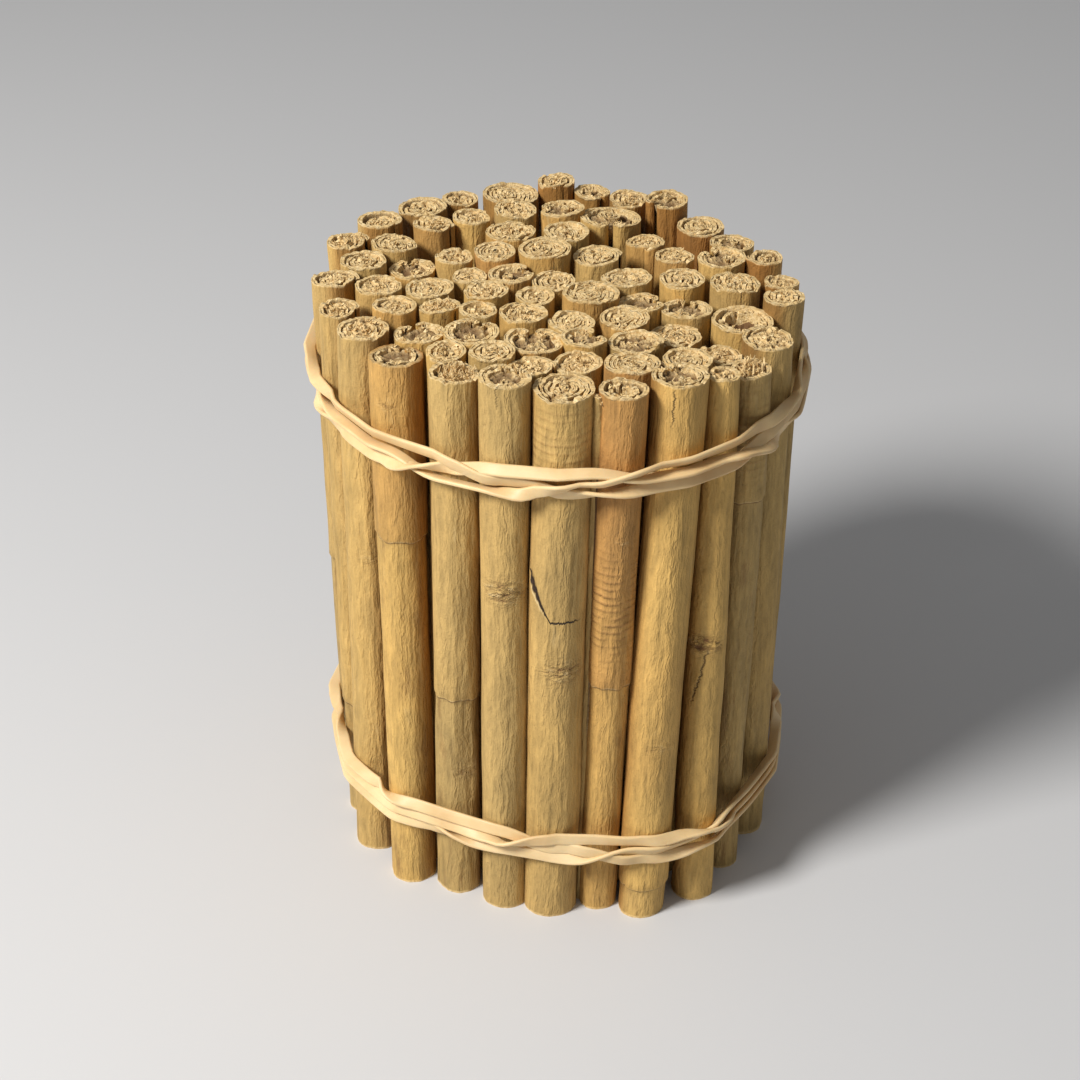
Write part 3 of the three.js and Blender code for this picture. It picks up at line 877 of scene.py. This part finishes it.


# Several of these are painted light: the crevice, under-lap and crack-gap colours are painted
# shade, and the knot's pale lip is painted highlight.
COLORS = {
    "scuff": (0.68, 0.49, 0.22), "scar": (0.22, 0.11, 0.035), "ring": (0.30, 0.14, 0.045),
    "knot": (0.20, 0.095, 0.03), "painted knot highlight": (0.76, 0.56, 0.27), "shade": (0.62, 0.5, 0.38),
    "painted shadow under a lap": (0.16, 0.08, 0.025), "lap edge": (0.72, 0.54, 0.27),
    "painted crevice shade": (0.13, 0.062, 0.02), "seam": (0.24, 0.13, 0.045), "torn": (0.80, 0.60, 0.30),
    "gap": (0.035, 0.017, 0.008),
}
TANS = [(0.0, (0.42, 0.28, 0.10)), (0.25, (0.49, 0.315, 0.105)), (0.55, (0.57, 0.355, 0.105)),
        (0.75, (0.52, 0.30, 0.085)), (1.0, (0.42, 0.21, 0.06))]
CUT_TONES = [(0.25, (0.36, 0.21, 0.075)), (0.45, (0.67, 0.46, 0.195)), (0.68, (0.90, 0.70, 0.39))]
RING_PITCH = 1.75 * MM


# %% The bark material
def bark_material():
    made, tree, shader = new_material("cinnamon_bark")
    length, z, seed = split(read(tree, "bark"))
    inner, brim, over_lap = split(read(tree, "faces"))
    tint, ridges, knot = split(read(tree, "looks"))
    along, aside, cracked = split(read(tree, "crack"))
    open_side = read(tree, "open_side", "Fac")

    # Noise on the flat sheet; fibres are long in Z and waver a little.
    waver = noise((length, z), 120, seed, 1) * 1.6 * MM
    wavy = length + waver
    fibres = noise((wavy, z * 0.07), 1500, seed, 2, 0.6)
    strands = noise((length + waver * 1.5, z * 0.045), 520, seed + 3, 3)
    blotches = noise((length * 1.6, z * 0.5), 75, seed + 5, 3)
    patches = noise((length * 0.5, z), 28, seed + 9, 1)
    grain = noise((length, z), 2600, seed, 2)
    scars = noise((length * 1.3, z * 0.35), 210, seed + 13, 4, 0.65)
    scar = scars.step(0.19, 0.27)
    scuff = noise((wavy, z * 0.22), 330, seed + 21, 3, 0.6).step(0.12, 0.24)
    crease = noise((wavy, z * 0.26), 560, seed + 25, 2, 0.6).bell(0.03) * strands.step(-0.05, 0.2)
    wrinkles = noise((wavy, z * 0.33), 880, seed + 41, 2, 0.6)
    hammered = noise((wavy, z * 0.3), 330, seed + 33, 2, 0.5)
    broken = noise((length, seed, 0.5), 420, seed + 43, 1)
    crumb = noise((length, z), 1100, seed + 31, 3, 0.7)

    # Knots are gnarled and burled; ridges are uneven rings across a quill.
    gnarl = (noise((wavy, z * 1.7), 400, seed + 29, 3, 0.6) / 0.045).bell(1.0)
    burl = noise((length * 0.8 + waver, z * 1.6), 430, seed + 47, 3, 0.55)
    bend = noise((length, z * 0.6), 300, seed + 17, 2) * 3.2
    wave = (z * (math.tau / RING_PITCH) + bend).sin() * 0.5 + 0.5
    ring = wave * wave * noise((length, z), 260, seed + 19, 1).step(-0.22, 0.12)

    # The outside: tan, mottled, then layer over layer of colour.
    under = 1 - over_lap.step(-0.06 * MM, 0.06 * MM)
    outside = ramp(tint + patches * 0.6 - under * 0.18, TANS)
    light = 1 + fibres * 0.6 + strands * 0.6 + blotches * 0.8 + hammered * 0.5 + grain * 0.25
    light = light + wrinkles * 0.55
    outside = blend(outside, vector(light, light, light), 1.0, "MULTIPLY")
    brown = (scar + under * scars.step(0.02, 0.2)).unit() * 0.6 + crease * 0.22
    # Painted shadow: a dark line just under the torn edge of a lap; above the edge a pale fringe
    # of torn fibres.
    lip = ((over_lap + 0.16 * MM) / (0.15 * MM)).bell(1.0)
    fringe = ((over_lap - 0.14 * MM) / (0.16 * MM)).bell(1.0) * broken.step(-0.2, 0.1)
    for name, share in {
        "scuff": scuff * 0.35,
        "scar": brown,
        "ring": ridges * ring * 0.5,
        # The knot colour is the knot's own dark gnarl lines plus painted shade in the burl's
        # hollows.
        "knot": (knot * (gnarl * 0.5 + (-burl).step(0.0, 0.14) * 0.8)).unit(),
        # Painted highlight: the knot's raised burls are lightened.
        "painted knot highlight": (knot * burl.step(0.02, 0.14) * 0.6).unit(),
        "shade": 1 - (open_side + patches * 0.3).step(-0.3, 0.6),
        # painted shadow under a lap's edge
        "painted shadow under a lap": lip * 0.8,
        "lap edge": fringe * 0.45,
    }.items():
        mode = "MULTIPLY" if name == "shade" else "MIX"
        outside = blend(outside, COLORS[name], share, mode)

    # The inside is pale at a brim and takes painted shade in the crevices, darker with depth,
    # and a cut end shows its seams.
    pale = ramp(crumb + 0.5, CUT_TONES)
    buried = 1 - open_side.above(BURIED * 0.75)
    indoors = inner.most(buried)
    # Painted shade: inner faces and hidden sheets go from pale at the brim to near-black brown
    # deeper down.
    within = blend(COLORS["painted crevice shade"], pale, (brim * brim * 1.15).unit())
    rim = brim.step(0.72, 0.97)
    surface = blend(outside, pale, rim * 0.75)
    surface = blend(surface, within, indoors)
    leaves = noise((length, seed), 300, seed + 37, 2) * 0.9
    seam = ((inner - 0.45 + leaves) / 0.12).bell(1.0) * rim * inner.above(0.02)
    seam = seam * (1 - inner.above(0.98)) * broken.step(-0.06, 0.14)
    surface = blend(surface, COLORS["seam"], seam * 0.45)

    # A crack: a jagged line that gapes at one end, with a pale torn edge.
    line = aside + noise((along, 0.3), 700, seed, 3, 0.7) * 2.6 * MM
    gape = ((-along - 0.5 * MM) / (4 * MM)).unit() * cracked.step(0.5, 1.0)
    width = mix(0.17, 1.2, gape) * MM
    torn = ((line + width * 1.7) / (0.5 * MM)).bell(1.0) * (width / (0.4 * MM) - 0.6).unit()
    surface = blend(surface, COLORS["torn"], torn * cracked.unit() * 0.7)
    # Painted shade: the crack's opening goes near-black; the same mask also sinks the bump there.
    gap = (line / width).bell(1.0) * cracked.least(1.0)
    surface = blend(surface, COLORS["gap"], (gap * 1.8).unit())
    plug(shader.inputs["Base Color"], surface)

    plug(shader.inputs["Roughness"], mix(0.62, 0.86, (blotches + 0.5 + indoors * 0.4).unit()))
    shader.inputs["Specular IOR Level"].default_value = 0.35
    height = fibres * 0.28 + strands * 0.5 + grain * 0.12 + blotches * 0.5 - scar * 0.14
    height = height + hammered * 0.7 + scuff * 0.1 - crease * 0.14 - knot * gnarl * 0.3
    height = height + knot * burl * 2.4 + wrinkles * 0.5
    height = height + ridges * (ring - 0.5) * 0.3 - under * 0.3
    height = mix(height, crumb * 0.6 + grain * 0.2, (indoors + rim).unit() * 0.9) - seam * 0.3
    add_bump(shader, (height - gap * 0.7) * MM, 0.9)
    return made


bark = bark_material()
print("bark material:", len(bark.node_tree.nodes), "nodes")

# %% Roll them
SHEET_GRIDS = {  # columns, rows outside, rows inside, how far rows gather at the head
    "front skins": (97, 72, 10, 1.2), "rim skins": (73, 44, 10, 1.4),
    "inner skins": (61, 8, 4, 4.0), "long": (161, 5, 3, 2.8), "short": (81, 5, 3, 2.8),
}
pieces = []
for name, table in tables.items():
    sizes = dict(zip(("Columns", "Outer Rows", "Inner Rows", "Head Bias"), SHEET_GRIDS[name]))
    pieces.append(grow("bark_" + name.replace(" ", "_"), bark_tree, table, sizes, bark))

# %% [markdown]
# ## Crumbs between the layers
# Broken bark and dust fill what the rolls leave open, so that few holes are deep. Under each
# head lies one rough plug: a square grid pressed into a disc, heaved by noise, with the ring of
# corners at its edge drawn together below, which closes it. A quill with a hole has a pit in it.

# %% The tree that fills a head
PLUG_SHARE = 0.72
PLUG_HEIGHT = 9
PIT_DEPTH = 6


def crumb_tree():
    tree, given = start_tree("crumb filling", {"Corners": 28})
    corners = out(given, "Corners")
    grid = geo(tree, "MeshGrid",
               {"Vertices X": corners, "Vertices Y": corners, "Size X": 2.0, "Size Y": 2.0})
    u, v, _ = split(geo(tree, "InputPosition"))
    grid = keep(grid, "m_u", u)
    grid = keep(grid, "m_v", v)
    body = put_on(tree, out(given, "Geometry"), grid)
    m = Measures(tree)
    u, v = m.u, m.v
    hem = abs(u).most(abs(v)).above(0.999)
    reach = m.whole * PLUG_SHARE * (1 - hem)
    x = u * (1 - v * v * 0.5).root() * reach
    y = v * (1 - u * u * 0.5).root() * reach
    coarse = noise((x, y), 420, m.seed, 2)
    crumbs = noise((x, y), 1300, m.seed + 3, 2)
    pit_x, pit_y = x - m.pit_x, y - m.pit_y
    pit = (pit_x * pit_x + pit_y * pit_y).root().bell(m.pit_size)
    rise = (coarse * 3.3 + crumbs * 1.4) * m.rough - pit * PIT_DEPTH * MM
    tilt = m.cut_x * x + m.cut_y * y
    z = m.high - m.depth + tilt + rise - hem * PLUG_HEIGHT * MM
    world_x, world_y = stand(m, x, y, z)
    # Painted shade: lower crumbs take the dark crevice colour, higher ones stay pale.
    loose = ((rise - m.depth * 0.6) / (0.8 * MM)).exp().unit()
    body = keep(body, "bark", x, y, m.seed)
    body = keep(body, "faces", 1.0, loose, 1.0)
    body = keep(body, "looks", m.tint, 0.0, 0.0)
    return end_tree(tree, given, weld(move(body, world_x, world_y, z)))


# %% Fill the heads
PLUG_DEPTHS = {"spiral": 1.0, "scroll": 1.0, "hollow": 2.4, "crumbled": 0.7, "dense": 0.6}
PITS = {22: (-2.4, 0.3, 1.1), 53: (0.6, 0.4, 1.9), 38: (1.2, -0.6, 1.2), 68: (-1.4, 1.0, 1.1),
        74: (0.2, 0.2, 1.5), 75: (-2.0, -0.6, 1.2), 2: (0, 0, 1.6)}
plugs = []
for quill in quills:
    number = quill["number"]
    kind = kind_of(number)
    draw = Draws(7000 + number * 11)
    pit_x, pit_y, pit_size = PITS.get(number, (draw(-2.5, 2.5), draw(-2.5, 2.5), draw(0.3, 1)))
    plugs.append({
        **quill_sheets(quill)[0][0], "depth": PLUG_DEPTHS[kind] * MM,
        "rough": draw(0.7, 1.1) * MM * (1.4 if kind == "crumbled" else 1),
        "pit_x": pit_x * MM, "pit_y": pit_y * MM, "pit_size": pit_size * MM})
pieces.append(grow("bark_crumbs", crumb_tree(), plugs, {"Corners": 28}, bark))

# %% [markdown]
# ## Splinters
# Dry bark splits when it is cut, and every head bristles with short flat splinters. They stand
# on the lips of the layers: corners near a brim are drawn from the finished meshes, and a tree
# puts a flat, bent, tapering sliver on each.

# %% Splinters on the heads
SPLINTERS = 3000
SPLINTERS_ABOVE = 60  # in millimetres: the heads fray, the cut feet don't
LIP_BRIM = 0.75
LEAN = 1.1
BRISTLES, BRISTLES_ELSEWHERE = {"crumbled": 1.5, "dense": 1.0}, 0.7
SPLINTER_LONG, SPLINTER_WIDE, SPLINTER_THICK = (0.3, 1.0), (0.3, 0.8), (0.1, 0.25)
FRAYED = {70: 3.0, 77: 3.4, 54: 1.6, 48: 1.6, 66: 1.6, 69: 1.5, 15: 1.6}


def splinter_tree():
    tree, given = start_tree("bark splinters", {"Sides": 4, "Bends": 2})
    sliver = geo(tree, "MeshCone",
                 {"Vertices": out(given, "Sides"), "Side Segments": out(given, "Bends"),
                  "Radius Top": 0.12, "Radius Bottom": 0.5, "Depth": 1.0})
    x, y, z = split(geo(tree, "InputPosition"))
    sliver = move(sliver, x + z * z * 0.35, y, z)
    m = Measures(tree)
    points = move(out(given, "Geometry"), m.x, m.y, m.z)
    points = keep(points, "looks", m.tint, 0.0, 0.0)
    points = keep(points, "faces", 1.0, 0.9, 1.0)
    points = keep(points, "bark", m.x, m.y, m.seed)
    turn = out(node(tree, "FunctionNodeEulerToRotation",
                    {"Euler": vector(m.lean_x, m.lean_y, m.yaw)}))
    size = vector(m.wide, m.thick, m.long)
    return end_tree(tree, given, put_on(tree, points, sliver, Rotation=turn, Scale=size))


def read_vectors(piece, name):
    values = np.empty(len(piece.data.vertices) * 3, np.float32)
    piece.data.attributes[name].data.foreach_get("vector", values)
    return values.reshape(-1, 3)


lips = []
for piece in pieces[3:]:
    spots, on_sheet, looks, faces = (read_vectors(piece, name)
                                     for name in ("position", "bark", "looks", "faces"))
    chosen = (faces[:, 1] > LIP_BRIM) & (spots[:, 2] > SPLINTERS_ABOVE * MM)
    lips.append(np.hstack([spots, on_sheet[:, 2:], looks[:, :1]])[chosen])
lips = np.concatenate(lips)  # x, y, z, seed, tint
numbers = np.rint(lips[:, 3] / SEED_STEP).astype(int)
kinds = [""] + [kind_of(q["number"]) for q in quills]
weights = np.array([BRISTLES.get(kind, BRISTLES_ELSEWHERE) * FRAYED.get(number, 1)
                    for number, kind in enumerate(kinds)])
counts = np.bincount(numbers, minlength=len(kinds))
shares = weights[numbers] / np.maximum(counts, 1)[numbers]
dice = np.random.default_rng(11)
chosen = dice.choice(len(numbers), SPLINTERS, p=shares / shares.sum())
splinters = []
for spot in chosen:
    frayed = FRAYED.get(int(numbers[spot]), 1)
    lean = LEAN / frayed**0.7
    x, y, z, _, tint = lips[spot]
    long = dice.uniform(*SPLINTER_LONG) * MM * (1 + 0.4 * (frayed - 1))
    splinters.append({
        "x": x, "y": y, "z": z + 0.1 * long, "long": long,
        "lean_x": dice.normal(0, lean), "lean_y": dice.normal(0, lean),
        "yaw": dice.uniform(0, 6.28), "wide": dice.uniform(*SPLINTER_WIDE) * MM,
        "thick": dice.uniform(*SPLINTER_THICK) * MM, "tint": tint, "seed": dice.uniform(0, 40)})
pieces.append(grow("bark_splinters", splinter_tree(), splinters, {"Sides": 4, "Bends": 2}, bark))

# %% [markdown]
# ## The rubber bands
# Each band is one loop of flat rubber that goes three times round the bundle. A strand runs
# straight over the hollows between quills, so its path is the convex outline of the dressed
# quills at that height. Where two strands swap lanes one rides over the other, and a flat strand
# that is wound by hand also rolls over onto its back now and then, which shows its thin edge.
# The path is worked out point by point; a Geometry Nodes tree sweeps a rounded section along it.

# %% Sizes of the bands, in millimetres
STRAND_WIDTH, STRAND_THICKNESS, STRAND_PITCH = 2.65, 0.85, 2.35
CROSSING_LIFT, LIFT_RISE, CROSSING_HALF_ANGLE = 1.0, 1.5, 8
BAND_CLEARANCE = 0.06
BAND_TURNS, STEPS_PER_TURN = 3, 240
OUTLINE_DIRECTIONS = 720
NEAR_BAND = 4
LEAST_COSINE = 0.2
WAVERS = ((5, 0.12), (11, 0.08))  # waves in a turn of the band, and how far the strand rocks
ROLL_SPACING, ROLL_LENGTH, LAST_ROLL = (0.1, 0.24), (0.05, 0.09), 0.12  # in turns of the band
BANDS = {  # height, slopes along X and Y, swaps of lanes, rolls: both in degrees from the front
    "band_upper": (111, (0.044, 0.02),
                   [(-35, 0, True), (-20, 1, False), (-3, 0, True), (13, 1, True),
                    (43, 0, False), (150, 0, True)], 31),
    "band_lower": (20.5, (-0.021, 0.01),
                   [(-140, 0, True), (-8, 1, True), (11, 0, False), (37, 1, False)], 77),
}


# %% The tight outline of the quills
def tight_outline(skins, height, tilt):
    """How far from the axis a band pulled tight lies, in metres, for each direction."""
    places = np.concatenate([read_vectors(skin, "position") for skin in skins])
    level = height * MM + places[:, 0] * tilt[0] + places[:, 1] * tilt[1]
    near = places[np.abs(places[:, 2] - level) < NEAR_BAND * MM, :2]
    angles = np.arange(OUTLINE_DIRECTIONS) * math.tau / OUTLINE_DIRECTIONS
    faces = np.stack([np.cos(angles), np.sin(angles)])
    reach = (near @ faces).max(axis=0)
    turned = np.cos(angles[:, None] - angles[None, :])
    limits = reach[None, :] / np.maximum(turned, LEAST_COSINE)
    return np.where(turned > LEAST_COSINE, limits, np.inf).min(axis=1)


# %% Where a strand runs
def strand_state(swaps, turns):
    """(lane, lift) of a strand some turns after its start at the back of the bundle.

    A swap is an angle, the lower of its two lanes, and whether the climber goes outside.
    """
    lane = 1
    for turn in range(BAND_TURNS):
        for angle, pair, climber_outside in swaps:
            reached = (turns - turn) * 360 - 180 - angle + CROSSING_HALF_ANGLE
            along = reached / (2 * CROSSING_HALF_ANGLE)
            if along <= 0:
                return lane, 0.0
            if lane not in (pair, pair + 1):
                continue
            climbs = lane == pair
            target = pair + 1 if climbs else pair
            if along < 1:
                eased = along**3 * (along * (along * 6 - 15) + 10)
                lift = min(1, LIFT_RISE * math.sin(math.pi * along)) * CROSSING_LIFT
                return lane + (target - lane) * eased, lift * (climbs == climber_outside)
            lane = target
    return lane, 0.0


def strand_rolls(seed):
    """The roll of a strand at each step: half turns at drawn places, and a slight waver."""
    draw = Draws(seed)
    steps = np.arange(BAND_TURNS * STEPS_PER_TURN) / STEPS_PER_TURN
    roll = np.zeros(len(steps))
    place = draw(0.02, 0.1)
    half_turns = 0
    while place < BAND_TURNS - LAST_ROLL:
        hand = 1 if draw() < 0.5 else -1
        share = np.clip((steps - place) / draw(*ROLL_LENGTH), 0, 1)
        roll += hand * math.pi * share * share * (3 - 2 * share)
        half_turns += hand
        place += draw(*ROLL_SPACING)
    roll -= half_turns * math.pi * steps / BAND_TURNS
    (slow, wide), (quick, slight) = WAVERS
    waver = np.sin(steps * math.tau * slow + seed) * wide
    return roll + (waver + np.sin(steps * math.tau * quick) * slight)


def strand_path(skins, height, tilt, swaps, seed):
    outline = tight_outline(skins, height, tilt)
    places = []
    rolls = strand_rolls(seed)
    for step, roll in enumerate(rolls):
        turns = step / STEPS_PER_TURN
        direction = math.pi / 2 + turns * math.tau
        place, lift = strand_state(swaps, turns)
        tight = np.interp(direction % math.tau / math.tau * OUTLINE_DIRECTIONS,
                          np.arange(OUTLINE_DIRECTIONS + 1), np.append(outline, outline[0]))
        stand = abs(math.cos(roll)) * STRAND_THICKNESS + abs(math.sin(roll)) * STRAND_WIDTH
        reach = tight + (BAND_CLEARANCE + lift + stand / 2) * MM
        x, y = reach * math.cos(direction), reach * math.sin(direction)
        z = (height + (place - 1) * STRAND_PITCH) * MM + tilt[0] * x + tilt[1] * y
        places.append((x, y, z))
    return places, [{"roll": roll} for roll in rolls]


print("bands:", list(BANDS))


# %% The tree that sweeps a strand
def strand_tree():
    tree, given = start_tree("rubber strand", {
        "Width": STRAND_WIDTH * MM, "Thickness": STRAND_THICKNESS * MM, "Edge": 0.4 * MM,
        "Edge Steps": 4})
    curve = geo(tree, "MeshToCurve", {"Mesh": out(given, "Geometry")})
    curve = geo(tree, "SetCurveNormal", {"Curve": curve}, mode="Z_UP")
    curve = geo(tree, "SetCurveTilt", {"Curve": curve, "Tilt": Measures(tree).roll})
    section = geo(tree, "CurvePrimitiveQuadrilateral",
                  {"Width": out(given, "Thickness"), "Height": out(given, "Width")})
    section = geo(tree, "FilletCurve",
                  {"Curve": section, "Radius": out(given, "Edge"),
                   "Count": out(given, "Edge Steps")}, mode="POLY")
    curve = keep(curve, "along", out(node(tree, "GeometryNodeSplineParameter"), "Length"))
    swept = geo(tree, "CurveToMesh", {"Curve": curve, "Profile Curve": section})
    return end_tree(tree, given, swept)


# %% Natural rubber
CREAMS = [(0.3, (0.64, 0.42, 0.19)), (0.5, (0.74, 0.525, 0.26)), (0.72, (0.82, 0.61, 0.335))]
DUST = (0.50, 0.32, 0.15)


def rubber_material():
    """Cream latex: nearly even, a little dusty, with fine lines along the strand."""
    made, tree, shader = new_material("band_latex")
    x, y, z = split(out(node(tree, "ShaderNodeTexCoord"), "Object"))
    along = read(tree, "along", "Fac")
    lines = noise((along * 0.05, z), 1900, 2.0, 2)
    cloudy = noise((x, y, z), 95, 3.0, 3)
    dust = noise((x, y, z), 1400, 4.0, 3, 0.7)
    tone = ramp(cloudy + 0.5, CREAMS)
    light = 1 + lines * 0.10 + dust * 0.07
    tone = blend(tone, vector(light, light, light), 1.0, "MULTIPLY")
    tone = blend(tone, DUST, dust.step(0.16, 0.3) * 0.35)
    plug(shader.inputs["Base Color"], tone)
    plug(shader.inputs["Roughness"], mix(0.42, 0.6, (cloudy + 0.5).unit()))
    shader.inputs["Subsurface Weight"].default_value = 0.12
    shader.inputs["Subsurface Radius"].default_value = (1.0, 0.6, 0.3)
    shader.inputs["Subsurface Scale"].default_value = 0.0015
    add_bump(shader, (lines * 0.06 + dust * 0.025 + cloudy * 0.1) * MM, 0.8)
    return made


# %% Wind the bands
rubber_tree = strand_tree()
rubber = rubber_material()
bands = {}
for name, (height, tilt, swaps, seed) in BANDS.items():
    places, rolls = strand_path(pieces[:2], height, tilt, swaps, seed)
    loop = [(i, (i + 1) % len(places)) for i in range(len(places))]
    bands[name] = grow(name + "_rubber", rubber_tree, rolls, {}, rubber, places, loop)

# %% [markdown]
# ## Floor and light
# A plain pale floor that fills the frame, one large soft lamp high at the front left, and a pale
# sky that keeps the shaded quills readable.

# %% Floor
FLOOR_HALF = 4
FLOOR_COLOR = (0.62, 0.61, 0.6, 1)
paper, _, shader = new_material("floor_paper")
shader.inputs["Base Color"].default_value = FLOOR_COLOR
shader.inputs["Roughness"].default_value = 0.8
floor_mesh = bpy.data.meshes.new("floor")
floor_mesh.from_pydata([(x * FLOOR_HALF, y * FLOOR_HALF, 0)
                        for x, y in ((-1, -1), (1, -1), (1, 1), (-1, 1))], [], [(0, 1, 2, 3)])
floor = bpy.data.objects.new("floor", floor_mesh)
bpy.context.collection.objects.link(floor)
floor_mesh.materials.append(paper)
floor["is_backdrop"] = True
print("floor:", 2 * FLOOR_HALF, "m wide")

# %% Lamp and sky
LAMP_PLACE, LAMP_AIM = (-0.66, -0.48, 0.82), (0, 0, 0.06)
LAMP_POWER, LAMP_SIZE = 15.5, 0.32
SKY_COLOR, SKY_STRENGTH = (0.9, 0.92, 0.95, 1), 0.27

light = bpy.data.lights.new("key", "AREA")
light.shape = "DISK"
light.energy = LAMP_POWER
light.size = LAMP_SIZE
lamp = bpy.data.objects.new("key", light)
lamp.location = LAMP_PLACE
way = mathutils.Vector(LAMP_AIM) - mathutils.Vector(LAMP_PLACE)
lamp.rotation_euler = way.to_track_quat("-Z", "Y").to_euler()
bpy.context.collection.objects.link(lamp)
sky = bpy.data.worlds.new("sky")
sky.use_nodes = True
sky.node_tree.nodes["Background"].inputs["Color"].default_value = SKY_COLOR
sky.node_tree.nodes["Background"].inputs["Strength"].default_value = SKY_STRENGTH
bpy.context.scene.world = sky
bpy.context.scene.view_settings.view_transform = "Standard"
print("lamp:", LAMP_POWER, "W, sky:", SKY_STRENGTH)

# %% [markdown]
# ## Tying the pieces to the part
# The bark pieces stand for the core solid together, and each rubber piece for its own band.

# %% What stands for what, and the size
for piece in pieces:
    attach(piece, "root")
    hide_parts("quill_bundle")
for name, piece in bands.items():
    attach(piece, "root")
    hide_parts(name)
low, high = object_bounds()
sizes = {"cad": [list(cad_low), list(cad_high)], "all": [list(low), list(high)]}
print("size, mm:", [round((b - a) / MM, 1) for a, b in zip(low, high)])
